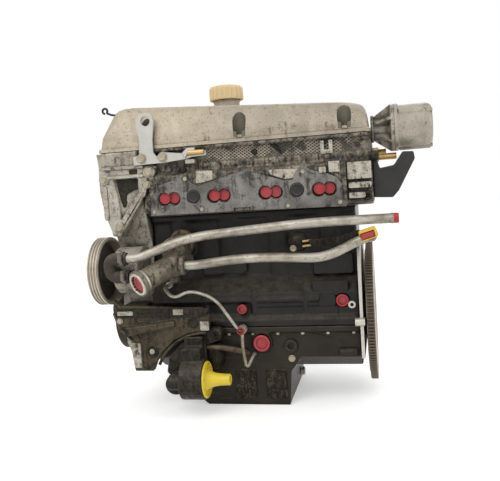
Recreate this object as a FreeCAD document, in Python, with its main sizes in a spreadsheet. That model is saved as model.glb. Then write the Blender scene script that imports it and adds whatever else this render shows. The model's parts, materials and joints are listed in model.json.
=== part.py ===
"""In-line four-cylinder petrol engine with twin overhead camshafts, as lifted out of a car.

Millimetres. The origin is on the crankshaft's axis, at the rear face of the flywheel.
+X runs back towards the gearbox, +Y towards the exhaust side and +Z up.
"""
import FreeCAD, Part
import math
import os

from FreeCAD import Placement, Rotation, Vector
from types import SimpleNamespace

import Sketcher

SIZES = [
    # crank train
    ("bore", 86, "cylinder bore"),
    ("crank_radius", 43, "half the stroke"),
    ("rod_length", 140, "connecting rod between its centres"),
    ("compression_height", 30, "gudgeon pin centre to piston crown"),
    ("deck_gap", 1, "deck above the crown at top dead centre"),
    ("cylinder_pitch", 98, "distance between cylinders"),
    ("main_radius", 29, "main journal"),
    ("crankpin_radius", 24, "crankpin"),
    ("crankpin_width", 26, "crankpin between its webs"),
    ("web_thickness", 18, "crank web"),
    ("gudgeon_radius", 10, "gudgeon pin"),
    ("running_gap", 0.05, "radial gap of a shaft in its bearing"),
    ("gap", 0.4, "gap between neighbours that move"),
    # flywheel end
    ("flywheel_thickness", 20, "flywheel at its rim"),
    ("flywheel_radius", 123, "seat of the ring gear"),
    ("ring_radius", 136, "tips of the ring gear"),
    ("ring_tooth_depth", 4.5, "height of a starter tooth"),
    ("ring_teeth", 134, "starter teeth"),
    ("ring_width", 13, "ring gear"),
    ("clutch_circle", 115, "radius of the clutch cover's bolt circle"),
    ("clutch_hole_radius", 4, "clutch cover bolt hole"),
    ("crank_bolt_circle", 35, "radius of the flywheel's bolt circle"),
    ("rear_plate_thickness", 6, "plate between block and flywheel"),
    ("plate_gap", 1, "rear plate to crank flange"),
    # block
    ("rear_wall", 8, "rear bore to the block's rear face"),
    ("front_wall", 15, "front bore to the block's front face"),
    ("rail_half", 118, "half width over the sump rails"),
    ("skirt_half", 108, "half width of the crankcase"),
    ("wall_half", 78, "half width of the cylinder walls"),
    ("deck_half", 84, "half width of the deck"),
    ("rail_z", -4, "joint of block and sump"),
    ("shoulder_z", 58, "top of the crankcase side"),
    ("crankcase_radius", 88, "inside of the crankcase"),
    # head
    ("gasket", 1.2, "head gasket"),
    ("head_height", 129.8, "head"),
    ("head_overhang", 35, "head beyond the block's rear face"),
    ("port_face_y", -127, "intake flange"),
    ("exhaust_face_y", 98, "exhaust flange"),
    ("head_half", 112, "half width of the head below the cam cover"),
    ("port_z", 248, "port centres"),
    ("cam_rise", 7, "cam axis above the head joint"),
    ("cam_half", 60, "cam axis from the middle"),
    ("valve_tilt", 18.5, "lean of the valves in degrees"),
    ("valve_offset", 18, "valve from the cylinder axis, along the engine"),
    ("valve_reach", 19, "valve head from the cylinder axis, across the engine"),
    ("intake_valve_radius", 15.5, "intake valve head"),
    ("exhaust_valve_radius", 13.5, "exhaust valve head"),
    ("stem_radius", 3.5, "valve stem"),
    ("tappet_radius", 16, "bucket tappet"),
    ("valve_lift", 8.5, "valve lift"),
    ("cam_base_radius", 17, "base circle of a cam"),
    ("cam_radius", 13, "camshaft between its cams"),
    # timing gear
    ("chain_pitch", 9.525, "timing chain"),
    ("crank_teeth", 17, "teeth of the crank sprocket"),
    ("chain_offset", 25, "chain in front of the block"),
    ("case_depth", 72, "timing case in front of the block"),
    ("case_wall", 5.5, "wall of the timing case"),
    ("case_half", 84, "half width of the timing case beside the block"),
    # cam cover
    ("cover_half", 125, "half width of the cam cover's rim"),
    ("cover_flange", 7, "rim of the cam cover"),
    ("cover_front_rise", 87, "cam cover above the head, front"),
    ("cover_fall", 33, "fall of the cover's top to the rear"),
    ("cover_wall", 5.5, "wall of the cam cover"),
    ("cap_radius", 36, "oil filler cap"),
    ("cap_height", 30, "oil filler cap"),
    # pulleys
    ("damper_radius", 70, "crank pulley"),
    ("damper_width", 23, "crank pulley"),
    ("pump_pulley_radius", 67.9, "water pump pulley"),
    ("pump_pulley_width", 24, "water pump pulley"),
    ("pump_y", -107.4, "water pump axis"),
    ("pump_z", 113.1, "water pump axis"),
    # sump
    ("sump_floor_z", -160, "underside of the sump"),
    ("sump_wall", 6, "sump wall"),
    ("well_front", -351, "front of the deep part of the sump"),
    ("well_rear", -165, "rear of the deep part of the sump"),
    # pipes
    ("coolant_pipe_radius", 8.5, "coolant pipes"),
    ("oil_pipe_radius", 3.2, "oil feed pipe"),
    ("hose_radius", 12, "moulded coolant hose"),
    ("spigot_radius", 21, "coolant outlet spigot"),
    # rear of the head
    ("drum_radius", 40.5, "vacuum pump drum"),
    ("drum_length", 67, "vacuum pump drum"),
    ("neck_length", 39, "neck of the vacuum pump"),
]

doc = FreeCAD.newDocument("petrol_engine")
sheet = doc.addObject("Spreadsheet::Sheet", "Sizes")
nodes = {}


class Size:
    """A length that carries its value and the formula that ties it to the sheet."""

    def __init__(self, value, formula):
        self.value = float(value)
        self.formula = formula

    def __float__(self):
        return self.value

    def __neg__(self):
        return Size(-self.value, f"(-1 * {self.formula})")

    def __add__(self, other):
        return Size(self.value + float(other), f"({self.formula} + {formula(other)})")

    def __sub__(self, other):
        return Size(self.value - float(other), f"({self.formula} - {formula(other)})")

    def __mul__(self, other):
        return Size(self.value * float(other), f"({self.formula} * {formula(other)})")

    def __truediv__(self, other):
        return Size(self.value / float(other), f"({self.formula} / {formula(other)})")

    def __radd__(self, other):
        return Size(other, formula(other)) + self

    def __rsub__(self, other):
        return Size(other, formula(other)) - self

    def __rmul__(self, other):
        return Size(other, formula(other)) * self


def formula(length):
    """The text of a length: its formula, or a plain number in brackets."""
    return length.formula if isinstance(length, Size) else f"({float(length)!r})"


def read_sizes():
    """Write the table into the sheet and hand its cells back by name."""
    for row, (name, value, meaning) in enumerate(SIZES, start=2):
        sheet.set(f"A{row}", meaning)
        sheet.set(f"B{row}", str(value))
        sheet.setAlias(f"B{row}", name)
    doc.recompute()
    cells = {name: Size(sheet.get(name), f"Sizes.{name}") for name, _, _ in SIZES}
    return SimpleNamespace(**cells)


s = read_sizes()

# stations along the engine
crank_flange_x = -s.flywheel_thickness
plate_rear_x = crank_flange_x - s.plate_gap
block_rear = plate_rear_x - s.rear_plate_thickness
last_cylinder = block_rear - s.rear_wall - s.bore / 2
cylinders = [last_cylinder - s.cylinder_pitch * (3 - number) for number in range(4)]
block_front = cylinders[0] - s.bore / 2 - s.front_wall
bearings = [cylinders[0] + s.cylinder_pitch * (number - 0.5) for number in range(5)]
chain_x = block_front - s.chain_offset
case_front = block_front - s.case_depth
pulley_rear = case_front - 7
pulley_front = pulley_rear - s.damper_width
head_rear = block_rear + s.head_overhang

# levels
deck_z = s.crank_radius + s.rod_length + s.compression_height + s.deck_gap
head_z = deck_z + s.gasket
joint_z = head_z + s.head_height
cam_z = joint_z + s.cam_rise
rim_z = joint_z + s.cover_flange
throws = (1, -1, -1, 1)

NOSE_RADIUS = 15
WHEEL_SIDES = 40
CLUTCH_BOLTS = 6
CRANK_BOLTS = 6
OUTLET_SEAT_Y = -96
OUTLET_Z = 152
OUTLET_CORE = (-368, -138, 126)
SPIGOT_END = (-417, -210, 98)
SUMP_PLUG = (-213, -35)
DRAIN = (40, -138)
CAP_FROM_CYLINDER = -13
CAP_Y = 38
CAP_Z = 444
BRACKET_Y = -138
MOUNT_BOLT = (-421, -40)
FILTER_SEAT = (-313, -168, -90)

# centre lines of the pipes and the moulded hose
UPPER_PIPE = [(-447, -175, 143), (-425, -175, 143), (-336, -155, 175), (-104, -155, 191), (44, -155, 191)]
LOWER_PIPE = [
    (-340, -160, 124), (-320, -160, 124), (-215, -165, 135), (-80, -165, 128), (-26, -146, 152),
    (2, -146, 162), (2, -172, 162),
]
HOSE = [(-447, -175, 143), (-484, -175, 143), (-484, -168, 108), (-447, -168, 108)]
FEED_START = (-393, 80)
OIL_FEED = [
    (-393, -100, 80), (-393, -140, 80), (-372, -150, 60), (-341, -140, 74), (-293, -140, 58),
    (-257, -135, 0), (-247, -140, -6),
]
OIL_DRAIN = [(-247, -132, -10), (-247, -136, -42), (-241, -136, -79), (-228, -134, -55), (-228, -110, -55)]

TURN = {
    "X": Rotation(Vector(0, 1, 0), 90),
    "Y": Rotation(Vector(1, 0, 0), -90),
    "Z": Rotation(),
}
SPIN_TURN = {
    "X": Rotation(),
    "Y": Rotation(Vector(0, 0, 1), 90),
    "Z": Rotation(Vector(0, 1, 0), -90),
}


AHEAD = {"X": Vector(1, 0, 0), "Y": Vector(0, 1, 0), "Z": Vector(0, 0, 1)}


def around(radius, sides):
    """The corner radius of a many-sided hole that just clears a round of this radius."""
    return radius / math.cos(math.pi / sides)


def bind(thing, prop, length):
    """Tie one property to the sheet."""
    thing.setExpression(prop, formula(length))


def place(thing, x, y, z):
    """Tie the three coordinates of a thing's place to the sheet."""
    for axis, length in zip("xyz", (x, y, z)):
        bind(thing, f"Placement.Base.{axis}", length)


def spot(axis, along, centre):
    """The point at a distance along an axis whose other two coordinates are centre."""
    first, second = centre
    return {"X": (along, first, second), "Y": (first, along, second), "Z": (first, second, along)}[axis]


def box(name, x, y, z):
    """A block between two planes along each axis."""
    solid = doc.addObject("Part::Box", name)
    for side, (low, high) in zip(("Length", "Width", "Height"), (x, y, z)):
        bind(solid, side, high - low)
    place(solid, x[0], y[0], z[0])
    return solid


def rod(name, axis, start, end, centre, radius, sides=0):
    """A cylinder from start to end along an axis, or a many-sided one where it stays hidden."""
    solid = doc.addObject("Part::Prism" if sides else "Part::Cylinder", name)
    if sides:
        solid.Polygon = sides
    bind(solid, "Circumradius" if sides else "Radius", radius)
    bind(solid, "Height", end - start)
    solid.Placement = Placement(Vector(), TURN[axis])
    place(solid, *spot(axis, start, centre))
    return solid


def draw(body, plane, points, name):
    """A closed outline on one of the body's own planes, each corner tied to the sheet."""
    sketch = body.newObject("Sketcher::SketchObject", name)
    role = f"{plane}_Plane"
    sketch.AttachmentSupport = [(next(o for o in body.Origin.OriginFeatures if o.Role == role), "")]
    sketch.MapMode = "FlatFace"
    corners = [Vector(float(u), float(v), 0) for u, v in points]
    ends = corners[1:] + corners[:1]
    sketch.addGeometry([Part.LineSegment(a, b) for a, b in zip(corners, ends)])
    count = len(points)
    sketch.addConstraint(
        [Sketcher.Constraint("Coincident", n, 2, (n + 1) % count, 1) for n in range(count)]
    )
    for n, (u, v) in enumerate(points):
        for kind, length in (("DistanceX", u), ("DistanceY", v)):
            index = sketch.addConstraint(Sketcher.Constraint(kind, -1, 1, n, 1, float(length)))
            if isinstance(length, Size):
                sketch.setExpression(f"Constraints[{index}]", length.formula)
    return sketch


def prism(name, plane, points, low, high):
    """An outline on a plane, padded from low to high along the plane's own axis."""
    body = doc.addObject("PartDesign::Body", name)
    sketch = draw(body, plane, points, f"{name}_outline")
    pad = body.newObject("PartDesign::Pad", f"{name}_pad")
    pad.Profile = sketch
    bind(pad, "Length", high - low)
    # the XZ plane faces -Y, so its pad starts at the high end
    start = {"XY": (0, 0, low), "XZ": (0, high, 0), "YZ": (low, 0, 0)}[plane]
    place(body, *start)
    return body


def spin(name, axis, points, centre, sides=0):
    """An outline of (along, radius) points, turned about an axis, round or many-sided."""
    if sides:
        outline = [(float(along), float(radius)) for along, radius in points]
        if outline[0][1]:
            outline.append(outline[0])
        place_at = Vector(*(float(value) for value in spot(axis, 0, centre)))
        return form(name, faceted(place_at, AHEAD[axis], outline, sides))
    body = doc.addObject("PartDesign::Body", name)
    sketch = draw(body, "XY", points, f"{name}_outline")
    turned = body.newObject("PartDesign::Revolution", f"{name}_turned")
    turned.Profile = sketch
    turned.ReferenceAxis = (sketch, ["H_Axis"])
    turned.Angle = 360
    body.Placement = Placement(Vector(), SPIN_TURN[axis])
    place(body, *spot(axis, 0, centre))
    return body


def form(name, shape):
    """A shape worked out from the sheet's values."""
    solid = doc.addObject("Part::Feature", name)
    solid.Shape = shape
    return solid


def join(name, parts):
    """Several solids as one, or as a group where they don't touch."""
    if len(parts) == 1:
        return parts[0]
    union = doc.addObject("Part::MultiFuse", name)
    union.Shapes = parts
    return union


def cut(name, base, tools):
    """A base with tools taken away."""
    rest = doc.addObject("Part::Cut", name)
    rest.Base = base
    rest.Tool = join(f"{name}_tools", tools)
    return rest


def group(name, parts):
    """Separate solids in one node."""
    bundle = doc.addObject("Part::Compound", name)
    bundle.Links = parts
    return bundle


def keep(node, thing):
    """Name a finished sub-part."""
    thing.Label = node
    nodes[node] = thing
    return thing


def mirrored(points):
    """An outline's right half, given from bottom to top, with its left half added."""
    return points + [(-u, v) for u, v in reversed(points)]


def belt_wire(x, circles, step):
    """A closed many-sided line round circles ((y, z), radius) at x, given anticlockwise."""
    normals = []
    for (start, first), (end, second) in zip(circles, circles[1:] + circles[:1]):
        across, up = end[0] - start[0], end[1] - start[1]
        lean = math.acos((first - second) / math.hypot(across, up))
        normals.append(math.atan2(up, across) - lean)
    points = []
    for (centre, radius), arrive, leave in zip(circles, normals[-1:] + normals[:-1], normals):
        sweep = (leave - arrive) % (2 * math.pi)
        count = max(1, round(sweep / math.radians(step)))
        for number in range(count + 1):
            angle = arrive + sweep * number / count
            points.append(Vector(x, centre[0] + radius * math.cos(angle),
                                 centre[1] + radius * math.sin(angle)))
    return Part.makePolygon(points + points[:1])


def slab(wire, thickness):
    """A face inside a wire, thickened along +X."""
    return Part.Face(wire).extrude(Vector(thickness, 0, 0))


def bends(points, bend, step=32):
    """A pipe's corners, each rounded by short straight runs that turn by at most a step."""
    corners = [Vector(*(float(value) for value in point)) for point in points]
    line = corners[:1]
    for before, corner, after in zip(corners, corners[1:], corners[2:]):
        back, onward = (before - corner).normalize(), (after - corner).normalize()
        half = back.getAngle(onward) / 2
        room = 0.42 * min((before - corner).Length, (after - corner).Length)
        setback = min(bend / math.tan(half), room)
        entry, leave = corner + back * setback, corner + onward * setback
        centre = corner + (back + onward).normalize() * (setback / math.cos(half))
        turn = math.pi - 2 * half
        count = max(1, math.ceil(turn / math.radians(step)))
        for number in range(count + 1):
            share = number / count
            spoke = (entry - centre) * math.sin((1 - share) * turn)
            spoke += (leave - centre) * math.sin(share * turn)
            line.append(centre + spoke / math.sin(turn))
    return line + corners[-1:]


def tube(points, radius, bend, sides=10):
    """A many-sided rod, mitred at each corner of its line."""
    line = bends(points, bend)
    heads = [(after - before).normalize() for before, after in zip(line, line[1:])]
    turn = Rotation(Vector(0, 0, 1), heads[0])
    ring = []
    for number in range(sides):
        angle = 2 * math.pi * number / sides
        ring.append(line[0] + turn.multVec(Vector(radius * math.cos(angle), radius * math.sin(angle), 0)))
    faces = [Part.Face(Part.makePolygon(ring + ring[:1]))]
    for index, head in enumerate(heads):
        end = line[index + 1]
        mitre = head if index + 1 == len(heads) else head + heads[index + 1]
        following = [point + head * ((end - point).dot(mitre) / head.dot(mitre)) for point in ring]
        for number in range(sides):
            other = (number + 1) % sides
            quad = [ring[number], ring[other], following[other], following[number]]
            faces.append(Part.Face(Part.makePolygon(quad + quad[:1])))
        ring = following
    faces.append(Part.Face(Part.makePolygon(ring + ring[:1])))
    solid = Part.Solid(Part.Shell(faces))
    if solid.Volume < 0:
        solid.reverse()
    return solid


def faceted(point, direction, outline, sides):
    """A many-sided solid about a line, from (along, radius) points that start and end on the line."""
    def corner(along, radius, number):
        angle = 2 * math.pi * (number % sides) / sides
        return Vector(radius * math.cos(angle), radius * math.sin(angle), along)

    faces = []
    for (low, inner), (high, outer) in zip(outline, outline[1:]):
        if low == high and 0 in (inner, outer):
            rim = [corner(low, inner + outer, number) for number in range(sides + 1)]
            faces.append(Part.Face(Part.makePolygon(rim)))
            continue
        for number in range(sides):
            quad = [corner(low, inner, number), corner(low, inner, number + 1),
                    corner(high, outer, number + 1), corner(high, outer, number)]
            faces.append(Part.Face(Part.makePolygon(quad + quad[:1])))
    solid = Part.Solid(Part.Shell(faces))
    if solid.Volume < 0:
        solid.reverse()
    solid.Placement = Placement(point, Rotation(Vector(0, 0, 1), direction))
    return solid


def main_bore():
    """Corner radius of the twelve-sided main bearing bores."""
    return around(s.main_radius + s.running_gap, 12)


def engine_block():
    """Cylinders on a short-skirted crankcase, open below, with five bearing bulkheads."""
    outline = mirrored([
        (s.rail_half, s.rail_z), (s.rail_half, s.rail_z + 13), (s.skirt_half, s.rail_z + 18),
        (s.skirt_half, s.shoulder_z), (s.wall_half, s.shoulder_z + 32),
        (s.wall_half, deck_z - 15), (s.deck_half, deck_z - 10), (s.deck_half, deck_z),
    ])
    casting = [prism("block_casting", "YZ", outline, block_front, block_rear)]
    bulge = 46
    for number, x in enumerate(cylinders):
        for side in (1, -1):
            centre = (x, side * (s.deck_half - bulge))
            casting.append(rod(f"bulge_{number}_{side + 1}", "Z", s.shoulder_z + 30, deck_z - 10, centre,
                               bulge, 20))
    for level in (s.shoulder_z - 16, s.rail_z + 14):
        casting.append(box("rib", (block_front, block_rear - 40),
                           (-s.skirt_half - 5, -s.skirt_half + 5), (level, level + 6)))
    # the vertical webs that stiffen the crankcase side between the cylinders
    for x in bearings[1:4]:
        casting.append(box("web", (x - 4, x + 4), (-s.skirt_half - 4, -s.wall_half),
                           (s.rail_z + 10, s.shoulder_z)))
    casting.append(rod("sensor_boss", "Y", -s.wall_half - 24, -s.wall_half + 10, (bearings[3] - 8, 152),
                       17, 16))
    casting.append(rod("outlet_boss", "Y", OUTLET_SEAT_Y, -s.wall_half, (cylinders[0] + 2, OUTLET_Z), 27, 16))
    casting.append(rod("feed_boss", "Y", OIL_FEED[0][1], -s.wall_half, FEED_START, 8, 12))
    holes = []
    for number, x in enumerate(cylinders):
        holes.append(rod(f"bore_{number}", "Z", 0, deck_z + 1, (x, 0), around(s.bore / 2, 20), 20))
        half = s.crankpin_width / 2 + s.web_thickness + 2
        bay = mirrored([(s.crankcase_radius, s.rail_z - 1), (s.crankcase_radius, 30), (68, 62), (34, 86)])
        holes.append(prism(f"bay_{number}", "YZ", bay, x - half, x + half))
    holes.append(rod("main_tunnel", "X", block_front - 1, block_rear + 1, (0, 0), main_bore(), 12))
    # the caps are let into the bulkheads up to the crankshaft's axis
    holes.append(box("cap_seat", (block_front - 1, block_rear + 1), (-46, 46), (s.rail_z - 1, 0)))
    holes.append(rod("plug_hole_rear", "Y", -s.skirt_half - 20, -s.skirt_half + 8, (cylinders[3] + 20, 41),
                     around(12, 16), 16))
    recess = [(cylinders[3] - 22, 31), (cylinders[3] + 28, 31), (cylinders[3] + 28, 51),
              (cylinders[3] - 22, 51)]
    holes.append(prism("side_recess", "XZ", recess, -s.skirt_half - 6, -s.skirt_half + 3))
    keep("engine_block", cut("block", join("block_body", casting), holes))


def main_bearing_caps():
    """Five caps under the main journals."""
    caps = []
    for number, x in enumerate(bearings):
        half = s.cylinder_pitch / 2 - s.crankpin_width / 2 - s.web_thickness - 2
        low = block_front if number == 0 else x - half
        high = block_rear if number == 4 else x + half
        outline = mirrored([(46, 0), (46, -18), (34, -46)])
        cap = prism(f"cap_{number}", "YZ", outline, low, high)
        bore = rod(f"cap_bore_{number}", "X", low - 1, high + 1, (0, 0), main_bore(), 12)
        caps.append(cut(f"bearing_cap_{number}", cap, [bore]))
    keep("main_bearing_caps", group("caps", caps))


def crankshaft():
    """Five main journals and four flat-plane throws, each between two balanced webs."""
    half_pin = s.crankpin_width / 2
    parts = []
    for number, (x, up) in enumerate(zip(cylinders, throws)):
        pin_z = s.crank_radius * up
        reach = half_pin + s.web_thickness / 2
        parts.append(rod(f"crankpin_{number}", "X", x - reach, x + reach, (0, pin_z), s.crankpin_radius, 12))
        top = s.crank_radius + s.crankpin_radius
        outline = mirrored([
            (30, -62), (52, -46), (58, -18), (33, 0), (28, s.crank_radius + 14), (14, top + 6),
        ])
        outline = [(y, z * up) for y, z in outline]
        for side in (-1, 1):
            middle = x + (half_pin + s.web_thickness / 2) * side
            low, high = middle - s.web_thickness / 2, middle + s.web_thickness / 2
            parts.append(prism(f"web_{number}_{side + 1}", "YZ", outline, low, high))
    for number, x in enumerate(bearings):
        reach = s.cylinder_pitch / 2 - half_pin - s.web_thickness / 2
        low = block_front - 8 if number == 0 else x - reach
        high = block_rear + 1 if number == 4 else x + reach
        parts.append(rod(f"journal_{number}", "X", low, high, (0, 0), s.main_radius, 12))
    parts.append(rod("crank_flange", "X", block_rear + s.gap, crank_flange_x, (0, 0),
                     s.crank_bolt_circle + 11, 24))
    parts.append(rod("crank_nose", "X", pulley_front, block_front, (0, 0), NOSE_RADIUS))
    keep("crankshaft", join("crank_forging", parts))


def sprocket_wheel(teeth, centre, bore, sides):
    """A chain wheel whose teeth stand in the gap between the chain's plates."""
    pitch_radius = float(s.chain_pitch) / (2 * math.sin(math.pi / teeth))
    points = []
    for step in range(2 * teeth):
        radius = pitch_radius + (1.8 if step % 2 else -3.6)
        angle = math.pi * step / teeth
        points.append(Vector(0, radius * math.cos(angle), radius * math.sin(angle)))
    width, hub_length = 4.6, 20
    wheel = slab(Part.makePolygon(points + points[:1]), width)
    ahead = Vector(1, 0, 0)
    hub = faceted(Vector(-4, 0, 0), ahead,
                  [(0, 0), (0, bore + 6), (hub_length, bore + 6), (hub_length, 0)], sides)
    eye = faceted(Vector(-6, 0, 0), ahead,
                  [(0, 0), (0, bore), (hub_length + 4, bore), (hub_length + 4, 0)], sides)
    wheel = wheel.fuse(hub).cut(eye)
    wheel.translate(Vector(float(chain_x) - width / 2, *centre))
    return wheel


def crank_sprocket():
    """The chain wheel on the crankshaft's nose."""
    # the twelve-sided eye clears the round nose at the middle of its sides
    eye = NOSE_RADIUS / math.cos(math.pi / 12) + 0.02
    keep("crank_sprocket", form("small_wheel", sprocket_wheel(int(float(s.crank_teeth)), (0, 0), eye, 12)))


def cam_circles(offset):
    """The chain's three circles, grown by an offset, anticlockwise from the crank."""
    small = float(s.chain_pitch) / (2 * math.sin(math.pi / float(s.crank_teeth)))
    large = float(s.chain_pitch) / (2 * math.sin(math.pi / (2 * float(s.crank_teeth))))
    half, level = float(s.cam_half), float(cam_z)
    return [((0, 0), small + offset), ((half, level), large + offset), ((-half, level), large + offset)]


def timing_chain():
    """The chain's two rows of plates, run round the crank and both cam wheels."""
    plate, spread, depth = 1.8, 3.2, 3.5
    rows = []
    for side in (-1, 1):
        x = float(chain_x) + side * spread - (plate if side < 0 else 0)
        ring = slab(belt_wire(x, cam_circles(depth), 20), plate)
        rows.append(ring.cut(slab(belt_wire(x, cam_circles(-depth), 20), plate)))
    keep("timing_chain", form("chain", Part.makeCompound(rows)))


def camshaft(name, side, order):
    """A shaft with eight cams, phased by the firing order."""
    centre = Vector(0, side * float(s.cam_half), float(cam_z))
    front, rear = float(chain_x) - 12, float(head_rear) - 12
    radius, sides = float(s.cam_radius), CAM_SIDES
    shaft = [(0, 0), (0, radius), (rear - front, radius), (rear - front, 0)]
    parts = [faceted(centre + Vector(front, 0, 0), Vector(1, 0, 0), shaft, sides)]
    base, width, nose = float(s.cam_base_radius), 14, 8
    throw = base + float(s.valve_lift) - nose
    for x, quarter in zip(cylinders, order):
        angle = math.radians(90 * quarter + 30)
        tip = (throw * math.cos(angle), throw * math.sin(angle))
        for way in (-1, 1):
            start = float(x) + way * float(s.valve_offset) - width / 2
            cam = slab(belt_wire(start, [((0, 0), base), (tip, nose)], 45), width)
            cam.translate(Vector(0, centre.y, centre.z))
            parts.append(cam)
    keep(name, form(f"{name}_shaft", parts[0].fuse(parts[1:])))


def cam_sprocket(name, side):
    """One cam's chain wheel, bolted to the front of its shaft."""
    teeth = 2 * int(float(s.crank_teeth))
    centre = (side * float(s.cam_half), float(cam_z))
    keep(name, form(f"{name}_wheel", sprocket_wheel(teeth, centre, float(s.cam_radius), CAM_SIDES)))


def valve_line(side):
    """Where a valve's axis starts, which way it rises, and how far it is to the cam's axis."""
    tilt = math.radians(float(s.valve_tilt))
    rise = Vector(0, side * math.sin(tilt), math.cos(tilt))
    reach = (float(s.cam_half) - float(s.valve_reach)) / math.sin(tilt)
    start = Vector(0, side * float(s.valve_reach), float(cam_z) - reach * math.cos(tilt))
    return start, rise, reach


CAM_SIDES = 8
TAPPET_HEIGHT = 22
SPRING_FOOT = 44
VALVE_SIDES = 6


def tappet_top():
    """The tappet's crown along the valve's axis: clear of a cam's nose as it turns."""
    return valve_line(1)[2] - float(s.cam_base_radius) - float(s.valve_lift) - float(s.gap)


def valve_places(side):
    """Where each valve of one side starts, and which way it rises."""
    start, rise, _ = valve_line(side)
    for cylinder in cylinders:
        for way in (-1, 1):
            yield start + Vector(float(cylinder) + way * float(s.valve_offset), 0, 0), rise


def valve_pair(name, side, number, radius):
    """The two valves of one side of a cylinder, each with its bucket tappet."""
    stem, tappet, top = float(s.stem_radius), float(s.tappet_radius), tappet_top()
    foot = top - TAPPET_HEIGHT
    outline = [(0, 0), (0, radius), (1.5, radius), (9, stem), (foot, stem), (foot, tappet), (top, tappet),
               (top, 0)]
    places = list(valve_places(side))[2 * number:2 * number + 2]
    solids = [faceted(point, rise, outline, VALVE_SIDES) for point, rise in places]
    keep(name, form(f"{name}_pair", Part.makeCompound(solids)))


def valve_springs():
    """A spring on each valve, as a sleeve of its coil's size."""
    wire, top = 3, tappet_top() - TAPPET_HEIGHT
    inner = float(s.stem_radius) + 4
    sleeves = []
    for side in (-1, 1):
        for point, rise in valve_places(side):
            outline = [(0, inner), (0, inner + wire), (top - SPRING_FOOT, inner + wire),
                       (top - SPRING_FOOT, inner)]
            sleeves.append(faceted(point + rise * SPRING_FOOT, rise, outline + outline[:1], VALVE_SIDES))
    keep("valve_springs", form("springs", Part.makeCompound(sleeves)))


def valve_passages(side, radius):
    """What is bored for one side's valves: seats, throats, guides and tappet bores."""
    gap, run = float(s.gap), float(s.running_gap)
    guide, bucket = float(s.stem_radius) + run, float(s.tappet_radius) + run
    outline = [
        (-14, 0), (-14, radius + gap), (3.4, radius + gap), (3.4, radius - 2), (22, radius - 2),
        (22, guide), (SPRING_FOOT, guide), (SPRING_FOOT, bucket), (112, bucket), (112, 0),
    ]
    bores = [faceted(point, rise, outline, VALVE_SIDES) for point, rise in valve_places(side)]
    return form("passages", Part.makeCompound(bores))


def cylinder_head():
    """Cross-flow head: pent roofs, ports, valve bores and an open chest for the camshafts."""
    outline = [
        (-s.head_half, head_z + 8), (-s.head_half, joint_z - 8), (-s.cover_half, joint_z - 7),
        (-s.cover_half, joint_z), (s.cover_half, joint_z), (s.cover_half, joint_z - 7),
        (s.head_half, joint_z - 8), (s.head_half, s.port_z + 44), (s.exhaust_face_y, s.port_z + 34),
        (s.exhaust_face_y, head_z + 8), (s.deck_half, head_z), (-s.deck_half - 8, head_z),
    ]
    casting = [prism("head_casting", "YZ", outline, block_front, head_rear)]
    flange = [
        (s.port_face_y, head_z + 2), (s.port_face_y, s.port_z + 44), (-s.head_half + 1, s.port_z + 54),
        (-s.head_half + 1, head_z + 2),
    ]
    casting.append(prism("port_flange", "YZ", flange, cylinders[0] - 40, cylinders[3] + 40))
    casting.append(rod("gallery", "X", cylinders[0] + 60, head_rear - 2, (-s.head_half, s.port_z + 60), 7,
                       12))
    for x, side in eye_bolts():
        low, high = (-s.cover_half - 1, -s.head_half + 6) if side < 0 else (s.head_half - 6, s.cover_half + 1)
        casting.append(rod("eye_boss", "Y", low, high, (x, joint_z - 17), 9, 12))
    body = join("head_body", casting)

    chest = []
    for number, (front, rear) in enumerate(zip(bearings, bearings[1:])):
        chest.append(box(f"chest_{number}", (front + 11, rear - 11), (-s.head_half + 8, s.head_half - 8),
                         (joint_z - 27, joint_z + 1)))
    hollow = cut("head_hollow", body, chest)
    towers = [rod(f"plug_tower_{n}", "Z", joint_z - 30, joint_z, (x, 0), 16, 8)
              for n, x in enumerate(cylinders)]
    body = join("head_towers", [hollow] + towers)

    holes = []
    roof = mirrored([
        (s.bore / 2, head_z - 1), (s.bore / 2, head_z + 6), (0.5, head_z + 20.5),
    ])
    for number, x in enumerate(cylinders):
        dome = doc.addObject("Part::Common", f"chamber_{number}")
        dome.Base = prism(f"roof_{number}", "YZ", roof, x - s.bore / 2, x + s.bore / 2)
        dome.Tool = rod(f"chamber_wall_{number}", "Z", head_z - 1, head_z + 30, (x, 0), s.bore / 2 - 1, 16)
        holes.append(dome)
        holes.append(rod(f"plug_well_{number}", "Z", head_z + 46, joint_z + 1, (x, 0), 12, 8))
        holes.append(rod(f"plug_thread_{number}", "Z", head_z + 10, head_z + 50, (x, 0), 7.5, 8))
        for way in (-1, 1):
            holes.append(rod(f"port_{number}_{way + 1}", "Y", s.port_face_y - 1, -30,
                             (x + way * 10, s.port_z), 11.6, 12))
        port = [(x - 17, s.port_z - 11), (x + 17, s.port_z - 11), (x + 17, s.port_z + 11),
                (x - 17, s.port_z + 11)]
        holes.append(prism(f"exhaust_port_{number}", "XZ", port, 30, s.exhaust_face_y + 1))
    for x, side in eye_bolts():
        low, high = (-s.cover_half - 2, -s.head_half) if side < 0 else (s.head_half, s.cover_half + 2)
        holes.append(rod("eye_hole", "Y", low, high, (x, joint_z - 17), 4.3, 8))
    for side in (-1, 1):
        holes.append(rod("cam_tunnel", "X", block_front - 1, head_rear + 1,
                         (side * s.cam_half, cam_z), cam_bore(), CAM_SIDES))
    head = cut("head_bored", body, holes)
    for side, radius in ((-1, float(s.intake_valve_radius)), (1, float(s.exhaust_valve_radius))):
        head = cut("head", head, [valve_passages(side, radius)])
    keep("cylinder_head", head)


def eye_bolts():
    """Where the lifting eyes' bolts go: two on the intake side, two on the exhaust side."""
    return [(block_front + 10, -1), (block_front + 52, -1), (head_rear - 50, 1), (head_rear - 15, 1)]


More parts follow.
